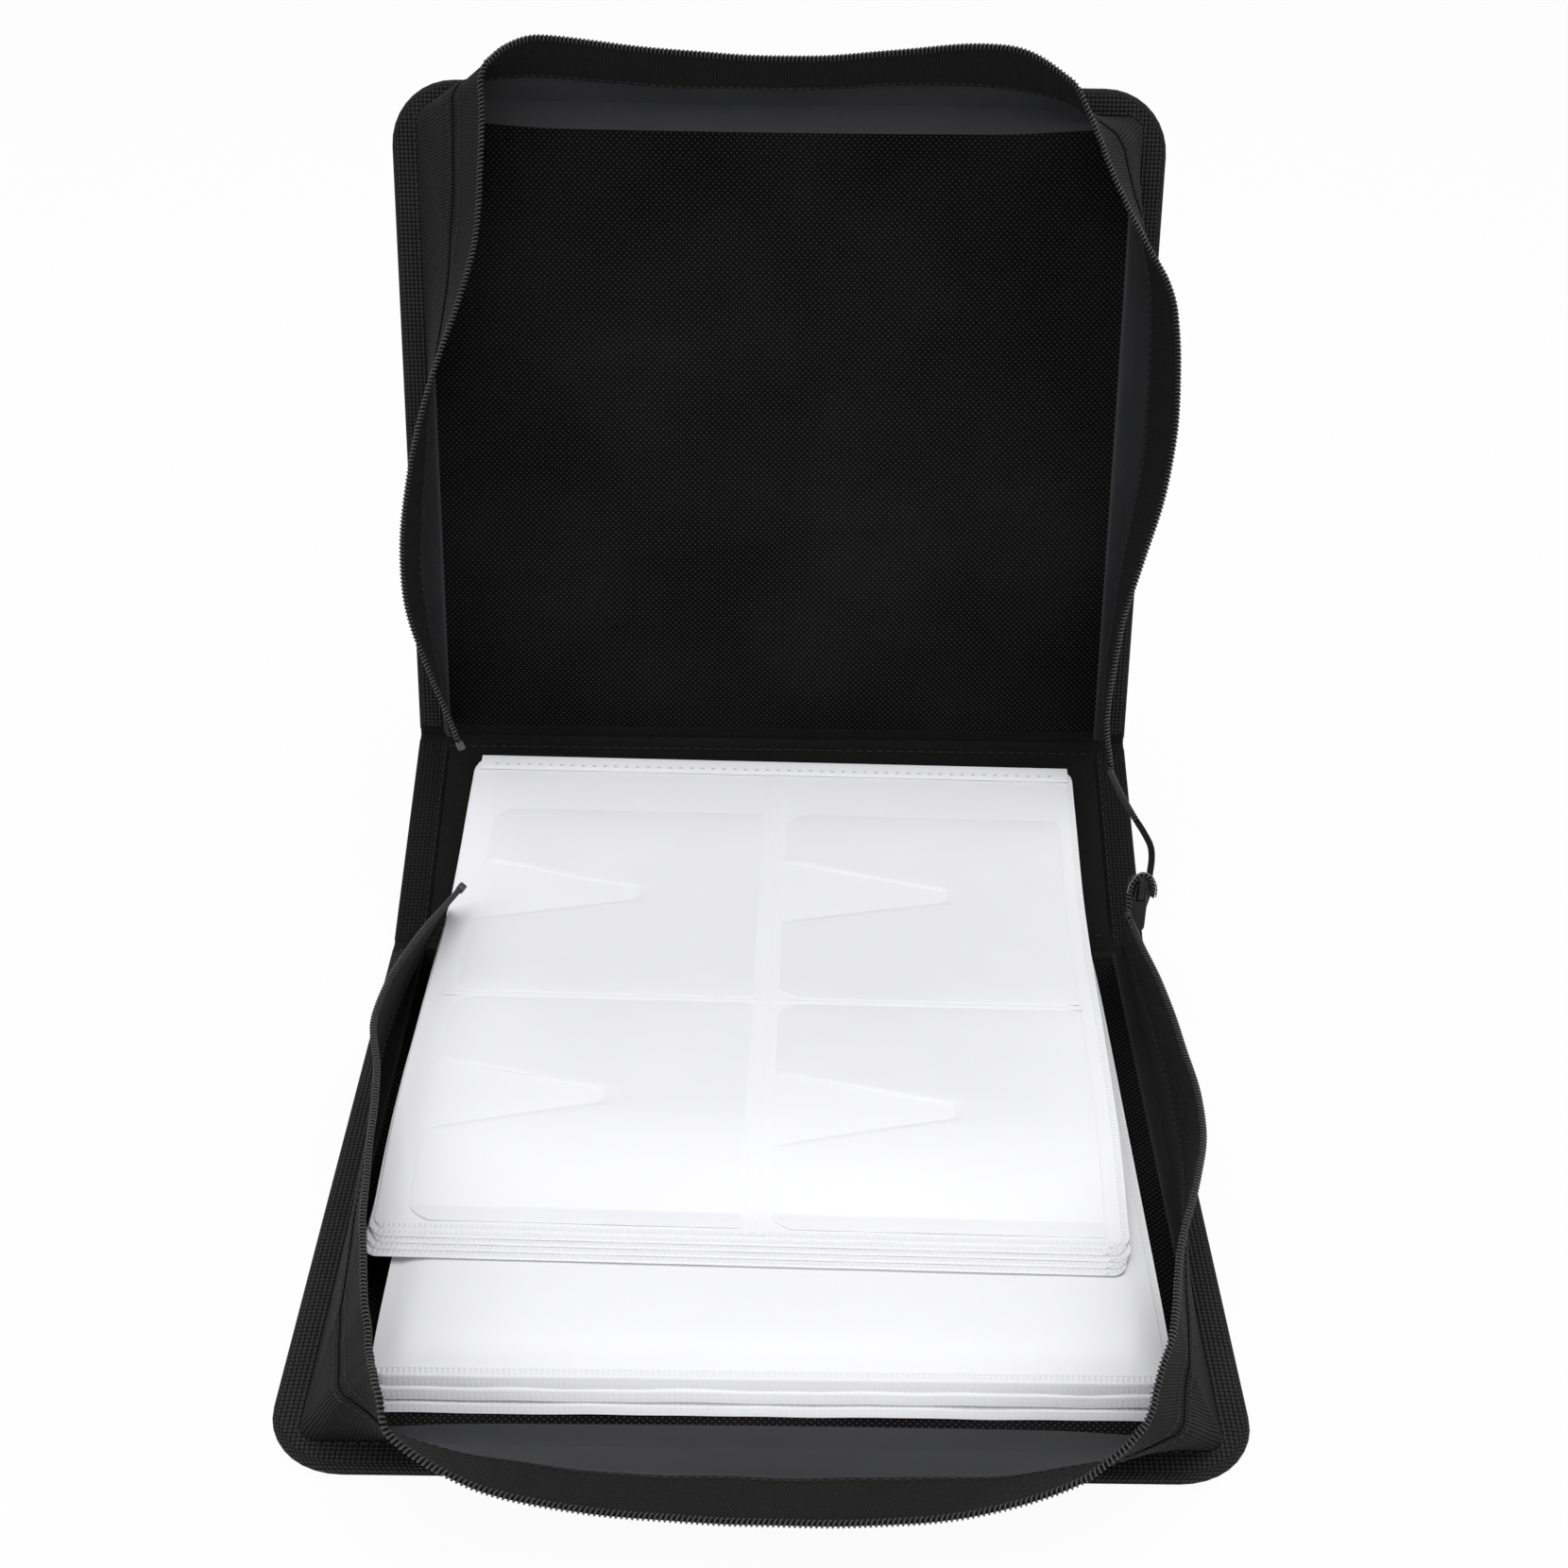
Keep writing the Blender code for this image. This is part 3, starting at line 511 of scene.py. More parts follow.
def ring(side, near, far, near_radius, far_radius, z):
    """Points round a panel, from the fold's right end: its sides' inset, its ends and its corners' radii."""
    half = CASE_WIDTH / 2 - side
    corners = []
    for x, y, inward, turn, radius in ((half, near, 1, -1, near_radius), (half, far, -1, 0, far_radius),
                                       (-half, far, -1, 1, far_radius), (-half, near, 1, 2, near_radius)):
        a = math.pi / 2 * (turn + np.arange(10) / 9)
        corners.append(np.column_stack((x - math.copysign(radius, x) + radius * np.cos(a),
                                        y + inward * radius + radius * np.sin(a), np.full(10, z))))
    steps = np.arange(1, 26)[:, None] / 26
    points = []
    for corner, following in zip(corners, corners[1:] + corners[:1]):
        points += [corner, corner[-1] + (following[0] - corner[-1]) * steps]
    return np.concatenate(points)


def cover(panel, axes, length):
    """The woven cover: a padded flange round a pocket, rounded edges and the outer face."""
    name, is_spine = f"{panel}_cover_cloth", panel == "spine"
    start, end = PANEL_START, length - PANEL_START if is_spine else length
    near_corner, least_corner = 0.0012, 0.0008
    far_corner = near_corner if is_spine else CORNER_RADIUS
    floor, face, edge = -0.0016, AXIS_HEIGHT, 0.0022
    pocket_far = 0.003 if is_spine else RIM

    # Each ring: inset of the sides, of the near end and of the far end, height, and way over the cloth.
    section = [
        (RIM, 0.003, pocket_far, floor, 0.004),
        (RIM - 0.0002, 0.0028, pocket_far - 0.0002, face - 0.0007, 0.001),
        (RIM - 0.0008, 0.0024, pocket_far - 0.0006, face - 0.0001, 0.0004),
    ]
    for inset in (0.0125, 0.0105, 0.0085, 0.0065, 0.0045, 0.003):
        rise = 0.00035 * math.sin(math.pi * (inset - edge) / 0.0105)
        near = min(inset, 0.0024)
        section.append((inset, near, near if is_spine else inset, face + rise, 0.0))
    for k in range(7):
        a = math.pi * k / 6
        out = edge * (1 - math.sin(a))
        section.append((out, out, out, face * math.cos(a), -0.0011 * k))
    for inset in (0.0045, 0.008, 0.012, 0.0125, 0.016, 0.026, 0.04, 0.052):
        groove = 0.0003 if 0.0118 < inset < 0.0127 else 0.0
        near = min(inset, 0.0035) if inset < 0.013 else inset - 0.009
        section.append((inset, near, near if is_spine else inset, -face + groove, -0.0066))
    shaped, laid = [], []
    for side, near, far, z, spread in section:
        near_radius, far_radius = max(near_corner - near, least_corner), max(far_corner - far, least_corner)
        if side >= 0.0129 and z > -face + 0.0005:
            near_radius = far_radius = SEAM_CORNER_RADIUS
        points = ring(side, start + near, end - far, near_radius, far_radius, z)
        if z > 0 and 0.001 < side < 0.013:
            points[:, 2] += 0.00016 * ripple(points[:, 0], points[:, 1], seed=len(name))
        shaped.append(to_world(axes, points))
        flat = ring(side + spread, start + near + spread, end - far - spread, near_radius, far_radius, 0.0)
        laid.append(flat[:, :2])
    # The spine's cover takes the copy of the weave with painted shade.
    swept(name, shaped, laid, "plate", "spine_weave_in_painted_shade" if is_spine else "woven_cover", panel, "woven_cover",
          replaces=(f"{panel}_cover",))


# Creases of the linings: way up the panel, slope, height and width.
CREASES = ((0.1, 0.16, 0.001, 0.005), (0.145, 0.1, 0.0007, 0.007), (0.055, -0.07, 0.0007, 0.006))


def lining(panel, axes, length):
    """A lining stretched over the board, with the slight creases of cloth that was folded."""
    is_spine = panel == "spine"
    kind, slot = ("spine_cloth", "spine_lining") if is_spine else ("lining_felt", "lining")
    name = f"{panel}_lining_" + kind.split("_")[1]
    start = PANEL_START + 0.003
    end = length - start if is_spine else length - FLANGE_WIDTH - SEAM_GAP
    half = CASE_WIDTH / 2 - ((RIM if is_spine else FLANGE_WIDTH) + SEAM_GAP)
    x, y = np.meshgrid(np.linspace(-half, half, 150), np.linspace(start, end, 50 if is_spine else 130))
    inside = np.minimum(half - np.abs(x), np.minimum(y - start, end - y))
    z = 0.00235 + 0.0004 * (1 - np.exp(-inside / 0.02))
    z = z + 0.00012 * ripple(x, y, seed=2.0 + len(name)) * np.clip(inside / 0.01, 0, 1)
    for at, slope, height, width in () if is_spine else CREASES:
        off = y - at - slope * x
        z = z + height * np.exp(-((off / width) ** 2)) * np.clip(inside / 0.02, 0, 1)
    loops = skins(np.dstack((x, y, z)), np.dstack((x, y, np.full_like(z, 0.00165))))
    swept(name, to_world(axes, loops), loops[:, :, :2], "strip", kind, panel, slot, replaces=(f"{panel}_lining",))


def fold(name, at, low, high, node):
    """The cloth that crosses a fold: laid over both panels inside, and tucked between them outside.

    low and high are the angles of the two panels' runs from the fold, seen from the right end.
    """
    def run(angle):
        return np.array((0.0, math.cos(angle), math.sin(angle)))

    def face(angle, turn):
        return run(angle + turn * math.pi / 2)

    middle = (low + high) / 2
    crease = 0.0026 / math.sin((low - high) / 2)
    laps = (0.0065, 0.00262), (0.004, 0.00285), (0.0024, 0.0028)
    inner = [out * run(low) + up * face(low, -1) for out, up in laps] + [crease * run(middle)]
    inner += [out * run(high) + up * face(high, 1) for out, up in laps[::-1]]
    start, end = low + math.pi / 2, high + 2 * math.pi - math.pi / 2
    outer = [0.005 * run(low) + 0.0019 * face(low, 1)]
    outer += [0.00235 * run(start + (end - start) * k / 4) for k in range(5)]
    outer.append(0.005 * run(high) + 0.0019 * face(high, -1))
    section = smooth_path(inner, 3), smooth_path(outer, 3)[::-1]
    way = [way_along(path) for path in section]
    way[1] = way[1][::-1]
    half = CASE_WIDTH / 2 - 0.0006
    ends = np.array([0.0, 0.0004, 0.0012])
    xs = np.concatenate((ends - half, np.linspace(0.003 - half, half - 0.003, 110), half - ends[::-1]))
    loops, laid = [], []
    for x in xs:
        closing = 1 - 0.35 * max(1 - (half - abs(x)) / 0.0012, 0) ** 2
        lift = 1 + 0.03 * float(ripple(np.array([x * 2]), seed=3.0)[0])
        both = np.concatenate((section[0] * closing * lift, section[1] * closing)) + at
        both[:, 0] = x
        loops.append(both)
        laid.append(np.column_stack((np.full(len(both), x), np.concatenate(way))))
    obj = swept(name, loops, laid, "strip", "spine_cloth", None, "woven_cover", replaces=(node,), sharp=60)
    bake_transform(obj)


# Side walls, zip tape and coil.


class Wall:
    """One half's side wall: the seam it stands on and how it leans, at many places from left to right."""

    def __init__(self, axes, lean, hand, seed, creases):
        sides, corners = 150, 10
        self.axes, self.hand, self.seed, self.creases = axes, hand, seed, creases
        half, far, near = CASE_WIDTH / 2 - FLANGE_WIDTH, PANEL_LENGTH - FLANGE_WIDTH, PANEL_START
        radius = SEAM_CORNER_RADIUS
        turn = radius / (far - near)
        route = [(i / sides * (1 - turn), -half, near + i / sides * (1 - turn) * (far - near))
                 for i in range(sides + 1)]
        for k in range(1, corners + 1):
            a = math.pi - math.pi / 2 * k / corners
            x, y = radius - half + radius * math.cos(a), far - radius + radius * math.sin(a)
            route.append((1 + (x + half - (far - y)) / radius * turn, x, y))
        for i in range(1, sides + 1):
            share = turn + i / sides * (1 - 2 * turn)
            route.append((1 + share, radius - half + i / sides * 2 * (half - radius), far))
        # The right side mirrors the left one.
        route += [(3 - place, -x, y) for place, x, y in route[sides + corners - 1::-1]]
        route = np.array(route)
        self.place = route[:, 0]
        places, rights, aways = zip(*lean)
        right, forth = smooth_value(places, rights, self.place), smooth_value(places, aways, self.place)
        rise = np.sqrt(np.maximum(1 - right**2 - forth**2, 0.01))
        self.up = unit(np.column_stack((hand * right, forth, rise)))
        self.foot = np.column_stack((hand * route[:, 1], route[:, 2], np.full(len(route), AXIS_HEIGHT + 0.0003)))
        self.way = way_along(self.foot)
        self.foot[:, 2] += WALL_THICKNESS * np.maximum(self.inward(0.0)[:, 2], 0) * 1.05

    def inward(self, height):
        line = self.foot + height * self.up
        along = np.empty_like(line)
        along[1:-1] = line[2:] - line[:-2]
        along[0], along[-1] = line[1] - line[0], line[-1] - line[-2]
        return self.hand * unit(np.cross(along, self.up))

    def at(self, height, lift=0.0):
        """Points over the whole seam at a height up the wall, in the panel's frame."""
        height = np.broadcast_to(np.asarray(height, float), self.way.shape)
        inward = self.inward(float(np.mean(height)))
        grown = np.clip(height / WALL_HEIGHT, 0, 1)
        wave = 0.00055 * ripple(self.way, 0.6 * height, seed=self.seed) * grown * (1.6 - grown)
        for low, high in self.creases:
            low, high = np.interp((low, high), self.place, self.way)
            lean = (high - low) / WALL_HEIGHT
            off = np.abs(self.way - low - lean * height) / math.hypot(1, lean)
            wave = wave - 0.0016 * np.exp(-off / 0.0045) * np.clip(height / 0.006, 0, 1) * (1.15 - grown)
        return self.foot + height[:, None] * self.up + (lift + wave)[:, None] * inward


def wall_cloth(name, wall, low, high, rows, outer, inner, kinds, body, slot, node, closing=0.0):
    """A band of the wall with two skins and rounded edges. outer and inner are the skins' lifts, and closing is
    how much further in the band's top lies, against the tape."""
    up, thick = np.linspace(0, 1, rows + 1), inner - outer
    levels = [(low + (high - low) * t, outer) for t in up] + [(low + (high - low) * t, inner) for t in up[::-1]]
    for k, rise, share in (0, 0.2, 0.4), (-1, 0.2, 0.6), (rows, -0.15, 0.275), (rows + 1, -0.15, 0.725):
        levels[k] = (levels[k][0] + thick * rise, outer + thick * share)
    columns = []
    for height, lift in levels:
        closer = np.clip((np.mean(height) - 0.022) / 0.007, 0, 1)
        columns.append(to_world(wall.axes, wall.at(height, lift + closing * closer * closer * (3 - 2 * closer))))
    laid = [np.column_stack((wall.way, np.broadcast_to(height, wall.way.shape))) for height, _ in levels]
    piece = Piece(name)
    piece.loops(np.stack(columns, axis=1), np.stack(laid, axis=1), [0] * (rows + 1) + [1] * (rows + 1), "strip")
    piece.make(kinds, body, slot, replaces=(node,), sharp=50)


def wall_foot(name, wall, body):
    """The coated cloth's foot, which rounds off the wall's base and lies on the lining for a few millimetres."""
    flat = wall.inward(0.0)
    flat[:, 2] = 0
    flat = unit(flat)
    reach = smooth_value((0.0, 0.9, 1.06, 1.2, 1.8, 1.94, 2.1, 3.0),
                         (0.003, 0.003, 0.005, 0.0074, 0.0074, 0.005, 0.003, 0.003), wall.place)
    start, corner = wall.at(0.011, -0.0003), wall.foot + 0.0008 * flat
    corner[:, 2] = AXIS_HEIGHT + 0.0006
    end = wall.foot + reach[:, None] * flat
    end[:, 2] = AXIS_HEIGHT + 0.0005
    curve = [(1 - t) ** 2 * start + 2 * t * (1 - t) * corner + t * t * end for t in np.linspace(0, 1, 8)]
    under = [points + 0.0005 * unit(corner - points) for points in curve[::-1]]
    columns = [to_world(wall.axes, points) for points in curve + under]
    laid = [np.column_stack((wall.way, np.full_like(wall.way, 0.001 * k))) for k in range(len(columns))]
    swept(name, np.stack(columns, axis=1), np.stack(laid, axis=1), "strip", "coated_wall", body, "wall_fabric",
          sharp=50)


def coil(name, path, up, inward, body, slot, nodes, rise=COIL_RISE, depth=COIL_DEPTH):
    """A zip's coil: one stiff thread wound along the path, thicker where the turns face their partners."""
    way = way_along(path)
    turns = int(way[-1] / COIL_PITCH)
    per_turn, sides, core_sides = 10, 5, 8
    s = np.linspace(0, way[-1], turns * per_turn + 1)
    centre, u, i = between(s, way, path), unit(between(s, way, up)), unit(between(s, way, inward))
    a = 2 * math.pi * s / (way[-1] / turns)
    line = centre + rise * np.cos(a)[:, None] * u + depth * np.sin(a)[:, None] * i
    tangent = np.gradient(line, axis=0)
    out = unit(line - centre)
    side = unit(np.cross(tangent, out))
    thick = 0.0003 + 0.00014 * np.maximum(np.cos(a), 0) ** 3
    loops, laid = [], []
    for k in range(sides):
        b = 2 * math.pi * k / sides
        loops.append(line + thick[:, None] * (math.cos(b) * out + math.sin(b) * side))
        laid.append(np.column_stack((s, np.full_like(s, 0.0003 * b))))
    piece = Piece(name)
    piece.loops(np.stack(loops, axis=1), np.stack(laid, axis=1), 0, "plate")
    # The cord inside the turns, which closes the coil to the eye.
    b = 2 * math.pi * np.arange(core_sides) / core_sides
    s, centre, u, i = (found[::per_turn // 2, None] for found in (s, centre, u, i))
    core = centre + CORE_SHARE * (rise * np.cos(b)[:, None] * u + depth * np.sin(b)[:, None] * i)
    laid = np.dstack((np.repeat(s, core_sides, 1), np.repeat(0.001 * b[None], len(core), 0)))
    piece.loops(core, laid, 1, "plate")
    return piece.make(["zip_teeth", "coil_cord"], body, slot, replaces=nodes, sharp=60, merge=False)


def stitches(name, path, normal, body, slot, pitch=0.0036, length=0.0025, width=0.00028, kind="black_thread",
             start=0.0):
    """A row of stitches: short plump threads that dip into the cloth at both ends."""
    way, sides = way_along(path), 6
    turns = 2 * math.pi * np.arange(sides) / sides
    piece = Piece(name)
    for s in np.arange(start + pitch, way[-1] - pitch, pitch):
        marks = np.array([s - length / 2, s - length / 3, s, s + length / 3, s + length / 2])
        line = between(marks, way, path)
        n = unit(between(s, way, normal)[0])
        t = unit(line[-1] - line[0])
        b = np.cross(t, n)
        line = line + np.array([-0.25, 0.55, 0.8, 0.55, -0.25])[:, None] * width * n
        fat = width * np.array([0.35, 0.9, 1.0, 0.9, 0.35])
        loops = line[:, None] + fat[:, None, None] * (
            np.cos(turns)[None, :, None] * n + np.sin(turns)[None, :, None] * b)
        laid = np.dstack((np.repeat(marks[:, None], sides, 1), np.repeat(turns[None] * width, 5, 0)))
        piece.loops(loops, laid, 0, "plate")
    return piece.make([kind], body, slot, sharp=60, merge=False)


def half_of_zip(half, axes, lean, hand, seed, creases):
    """All that stands round the base or the lid. Gives back the coil's line and the directions in from it."""
    wall = Wall(axes, lean, hand, seed, creases)
    wall_cloth(f"{half}_wall_cloth", wall, 0.0, WALL_FABRIC_HEIGHT, 22, -WALL_THICKNESS, 0.0,
               ["ribbed_wall", "coated_wall"], half, "wall_fabric", f"{half}_wall", closing=0.00072)
    wall_foot(f"{half}_wall_foot", wall, half)
    hem = HEM_HEIGHT + 0.0009 * ripple(wall.way, seed=seed + 4) + 0.0006 * np.sin(wall.way * 47 + seed)
    wall_cloth(f"{half}_tape_web", wall, hem, WALL_HEIGHT - 0.001, 18, 0.0008, 0.0014,
               ["zip_tape", "zip_tape"], half, "zip_tape", f"{half}_zip_tape")
    chain = to_world(axes, wall.at(WALL_HEIGHT, 0.0011))
    up, inward = wall.up @ axes[:, :3].T, wall.inward(WALL_HEIGHT) @ axes[:, :3].T
    coil(f"{half}_coil_teeth", chain, up, inward, half, "zip_coil", (f"{half}_zip_coil",))
    for row, (height, lift, side) in enumerate(
            ((hem + 0.0022, 0.0014, 1), (0.0276, -0.00015, -1), (0.0352, 0.0008, -1))):
        stitches(f"{half}_tape_stitches_{row}", to_world(axes, wall.at(height, lift)), side * inward, half,
                 "zip_tape", start=0.001 * row)
    # The thread that holds the wall to the flange, just outside the wall's foot.
    near = wall.foot - 0.0018 * wall.inward(0.0)
    near[:, 2] = AXIS_HEIGHT + 0.0002
    stitches(f"{half}_flange_stitches", to_world(axes, near), np.tile(axes[:, 2], (len(near), 1)), half,
             "woven_cover", **FLANGE_STITCH)
    return chain, inward


# Sleeve pages.


def lower_top(y):
    return smooth_value(*zip(*LOWER_TOP), y)


def lower_bottom(y):
    return np.full_like(y, 0.0053)


def pressed_front(y):
    """The lower bundle's top, pressed down where the sleeves' front welds lie on each other."""
    share, reach = 0.52, 0.008
    pressed = 1 - share * np.exp((LOWER_FRONT - y) / reach)
    return lower_bottom(y) + (lower_top(y) - lower_bottom(y)) * pressed


def upper_bottom(y):
    on_lower = lower_top(np.minimum(y, LOWER_BACK)) + 0.0006
    return np.where(y <= LOWER_BACK, on_lower, smooth_value(*zip(*UPPER_REST), y))


def upper_top(y):
    return smooth_value(*zip(*UPPER_TOP), y)


def leaf(piece, spec, front, back, bottom, top, shift, share_low, share_high, seed):
    """One thin sleeve of a bundle: plump in its middle, thin along its welded edges, round at its corners."""
    radius = PAGE_CORNER_RADIUS
    corner = np.array([0.0, 0.02, 0.08, 0.2, 0.36, 0.6, 1.0])
    rows = np.concatenate((front + radius * corner, np.arange(front + 0.01, back - 0.01, 0.004),
                           back - radius * corner[::-1]))
    edge = np.array([0.0, 0.004, 0.012, 0.03, 0.06])
    across = np.concatenate((edge - 1, np.linspace(-0.9, 0.9, 46), 1 - edge[::-1]))
    nearest = np.minimum(rows - front, back - rows)
    cut = radius - np.sqrt(np.maximum(radius**2 - np.maximum(radius - nearest, 0) ** 2, 0))
    half = (PAGE_WIDTH / 2 - cut * 0.96)[:, None]
    x = half * across[None]
    y = np.repeat(rows[:, None], len(across), 1)
    inside = np.minimum(half * (1 - np.abs(across))[None], nearest[:, None])
    plump = np.clip((inside - 0.004) / 0.011, 0, 1)
    plump = plump * (2 - plump)
    slot_low, slot_high = (bottom(rows)[:, None] + (top(rows) - bottom(rows))[:, None] * share
                           for share in (share_low, share_high))
    deep = slot_high - slot_low
    sway = 0.1 * ripple(1.2 * x, 0.8 * y, seed=seed) * (1 - plump)
    rim = np.minimum(spec["lip"] * deep, 0.0036)
    thick = rim + (0.95 * deep - rim) * plump
    middle = slot_low + deep * (0.5 + sway)
    upper, lower = middle + thick / 2, middle - thick / 2
    if share_high > 0.999:
        upper = slot_high - 0.00015 - (1 - plump) * deep * 0.35 + 0.00012 * ripple(x, 0.5 * y, seed=seed + 1)
        lower = upper - thick
    placed_x = shift - spec["skew"] * y + x
    placed_y = FOLD_Y + y + spec["skew"] * x
    skin = np.dstack((placed_x, placed_y, upper))
    near_front = np.clip(1 - (rows - front) / 0.006, 0, 1)[:, None]
    under = np.dstack((placed_x, placed_y - spec["slope"] * near_front, lower))
    laid, laid_under = (np.dstack((x, y - front - drop * near_front, half - x)) for drop in (0.0, 0.003))
    piece.loops(skins(skin, under), skins(laid, laid_under), 0, "strip")


def leaf_shift(spec, k):
    """How far to the right the bundle's leaf number k lies."""
    return spec["shift"] + 0.0006 * ((k * 2) % spec["leaves"] - spec["leaves"] / 2)


def bundle(name, spec, bottom, top, body, node, seed):
    """A stack of leaves, each set back a little from the one below it."""
    piece = Piece(name)
    count = spec["leaves"]
    rng = random.Random(seed)
    for k in range(count):
        last = k == count - 1
        wander = 0 if last else rng.uniform(-0.0009, 0.0009)
        shift = leaf_shift(spec, k) + wander
        front = spec["front"] + k * spec["step"] + rng.uniform(0, 0.0004)
        back = spec["back"] - 0.0001 * k - rng.uniform(0, 0.0006)
        leaf(piece, spec, front, back, bottom, top, shift, k / count, (k + 1) / count, seed + 3 * k)
    return piece.make(["page_white"], body, "sleeve", replaces=(node,), sharp=50, merge=False)


LOWER = {"leaves": 3, "front": LOWER_FRONT - 0.0002, "back": LOWER_BACK, "step": 0.0026, "shift": 0.0037,
         "skew": 0.0, "lip": 0.88, "slope": 0.0017}
UPPER = {"leaves": 5, "front": LOWER_FRONT + 0.0535, "back": 0.079, "step": 0.0028, "shift": -0.0008,
         "skew": -0.021, "lip": 0.62, "slope": 0.0008}


def on_top_page(x, y, above):
    """Points on the top page, from its own x and y (y from the fold), lifted by a little."""
    shift = leaf_shift(UPPER, UPPER["leaves"] - 1)
    return np.dstack((shift - UPPER["skew"] * y + x, FOLD_Y + y + UPPER["skew"] * x, upper_top(y) + above))


def pocket(name, left, right, front, back, notch_y, notch_x):
    """The film of one pocket, open at its left edge, with a thumb notch that narrows to a round tip."""
    rows = np.linspace(front, back, 150)
    inner = np.linspace(0, 1, 46)
    off = np.abs(rows - notch_y) / 0.02
    tip = 0.24
    depth = np.where(off < tip, 0.93 + 0.07 * np.sqrt(np.maximum(1 - (off / tip) ** 2, 0)),
                     0.93 * np.maximum(1 - (off - tip) / (1 - tip), 0) ** 1.05)
    start = left + (notch_x - left) * depth
    corner = np.minimum(rows - front, back - rows)
    start = start + 0.008 * np.maximum(1 - corner / 0.008, 0) ** 2
    x = start[:, None] + (right - start)[:, None] * inner[None]
    y = np.repeat(rows[:, None], len(inner), 1)
    inside = np.minimum(np.minimum(x - left, right - x), np.minimum(y - front, back - y))
    rim = np.minimum(inside, (x - start[:, None]) + 0.0004)
    above = 0.00002 + 0.00036 * (1 - np.exp(-np.maximum(rim, 0) / 0.0045))
    above = above + 0.0001 * ripple(x, 0.6 * y, seed=notch_x * 90) * np.clip(rim / 0.006, 0, 1)
    flat = np.dstack((x, y))
    return swept(name, skins(on_top_page(x, y, above), on_top_page(x, y, above - 0.00022)), skins(flat, flat),
                 "strip", "pocket_film", None, "sleeve", sharp=50)


def page_strip(name, x_from, x_to, y_from, y_to, above, bulge, across, along):
    """A narrow strip on the top page: a weld's flat ridge or the folded back strip."""
    x, y = np.meshgrid(np.linspace(x_from, x_to, across), np.linspace(y_from, y_to, along))
    inside = np.minimum(np.minimum(x - x_from, x_to - x), np.minimum(y - y_from, y_to - y))
    raised = above + bulge * (1 - np.exp(-inside / 0.001))
    flat = np.dstack((x, y + 1.0))
    return swept(name, skins(on_top_page(x, y, raised), on_top_page(x, y, np.full_like(x, -0.0002))),
                 skins(flat, flat), "strip", "page_white", None, "sleeve", sharp=50)


# The zip's tail beside the spine.


def tail_line(points, steps, first):
    """A smooth path, with a side direction carried along it without twisting, and its normal."""
    path = smooth_path(points, steps)
    tangent = unit(np.gradient(path, axis=0))
    side = [np.array(first, float)]
    for t in tangent:
        side.append(unit(side[-1] - np.dot(side[-1], t) * t))
    side = np.array(side[1:])
    return path, side, np.cross(tangent, side)


def ribbon(name, path, side, normal, width, thick, kind, body, nodes=()):
    """A narrow strip with round edges along a path."""
    turns = 2 * math.pi * np.arange(14) / 14
    squeeze = np.sign(np.cos(turns)) * np.abs(np.cos(turns)) ** 0.6
    loops = path[:, None] + (width / 2 * squeeze)[None, :, None] * side[:, None] + (
        thick / 2 * np.sin(turns))[None, :, None] * normal[:, None]
    laid = np.dstack((np.repeat(way_along(path)[:, None], 14, 1),
                      np.repeat((width / 2 * squeeze)[None], len(path), 0)))
    return swept(name, loops, laid, "plate", kind, body, "zip_tape", replaces=nodes, sharp=60)


TAIL_ORIGIN = np.array((CASE_WIDTH / 2, FOLD_Y, 0.0))
BASE_TAIL = TAIL_ORIGIN + np.array((
    (-0.015, -0.03, 0.05), (-0.0147, -0.026, 0.054), (-0.0131, -0.024, 0.0588), (-0.0098, -0.0234, 0.0618),
    (-0.0065, -0.0238, 0.0607), (-0.0046, -0.0243, 0.0564), (-0.0045, -0.0244, 0.0518)))
LID_TAIL_LOW = TAIL_ORIGIN + np.array((
    (-0.0068, -0.0236, 0.0596), (-0.0059, -0.0201, 0.0612), (-0.0046, -0.0135, 0.0641), (-0.0051, -0.01, 0.068),
    (-0.0074, -0.0045, 0.071), (-0.0095, 0.001, 0.0725)))
LID_TAIL_HIGH = TAIL_ORIGIN + np.array((
    (-0.0097, 0.0015, 0.0726), (-0.0118, 0.0085, 0.0738), (-0.0138, 0.02, 0.0738), (-0.0148, 0.034, 0.072),
    (-0.0151, 0.044, 0.0702)))


# Assembly.

PANELS = (("base", BASE, PANEL_LENGTH), ("spine", SPINE, SPINE_DEPTH), ("lid", LID, PANEL_LENGTH))
for panel in PANELS:
    cover(*panel)
for panel in PANELS:
    lining(*panel)
fold("base_fold_cloth", BASE_FOLD, math.pi, SPINE_ANGLE, "base_fold")
fold("lid_fold_cloth", LID_FOLD, math.pi + SPINE_ANGLE, LID_ANGLE, "lid_fold")

base_chain, base_inward = half_of_zip("base", BASE, BASE_LEAN, -1, 1.0, ((1.0, 0.78), (2.0, 2.17)))
lid_chain, _ = half_of_zip("lid", LID, LID_LEAN, 1, 5.0, ((1.0, 0.64), (2.0, 2.19)))


def spine_stitches(name, xs, ys, z, slot, **how):
    row = np.column_stack(np.broadcast_arrays(xs, ys, z))
    stitches(name, to_world(SPINE, row), np.tile(SPINE[:, 2], (len(row), 1)), "spine", slot, **how)


# Stitches on the spine: beside both folds, and along its side flanges.
spine_half = CASE_WIDTH / 2 - FLANGE_WIDTH
for number, y in enumerate((0.0085, SPINE_DEPTH - 0.0085)):
    spine_stitches(f"spine_fold_stitches_{number}", np.linspace(-spine_half, spine_half, 60), y, 0.0029,
                   "spine_lining", pitch=0.0048, length=0.0034, width=0.0003)
for number, x in enumerate((-spine_half + 0.0012, spine_half - 0.0012)):
    ys = np.linspace(PANEL_START + 0.001, SPINE_DEPTH - PANEL_START - 0.001, 40)
    spine_stitches(f"spine_side_stitches_{number}", x, ys, 0.0027, "woven_cover", **FLANGE_STITCH)

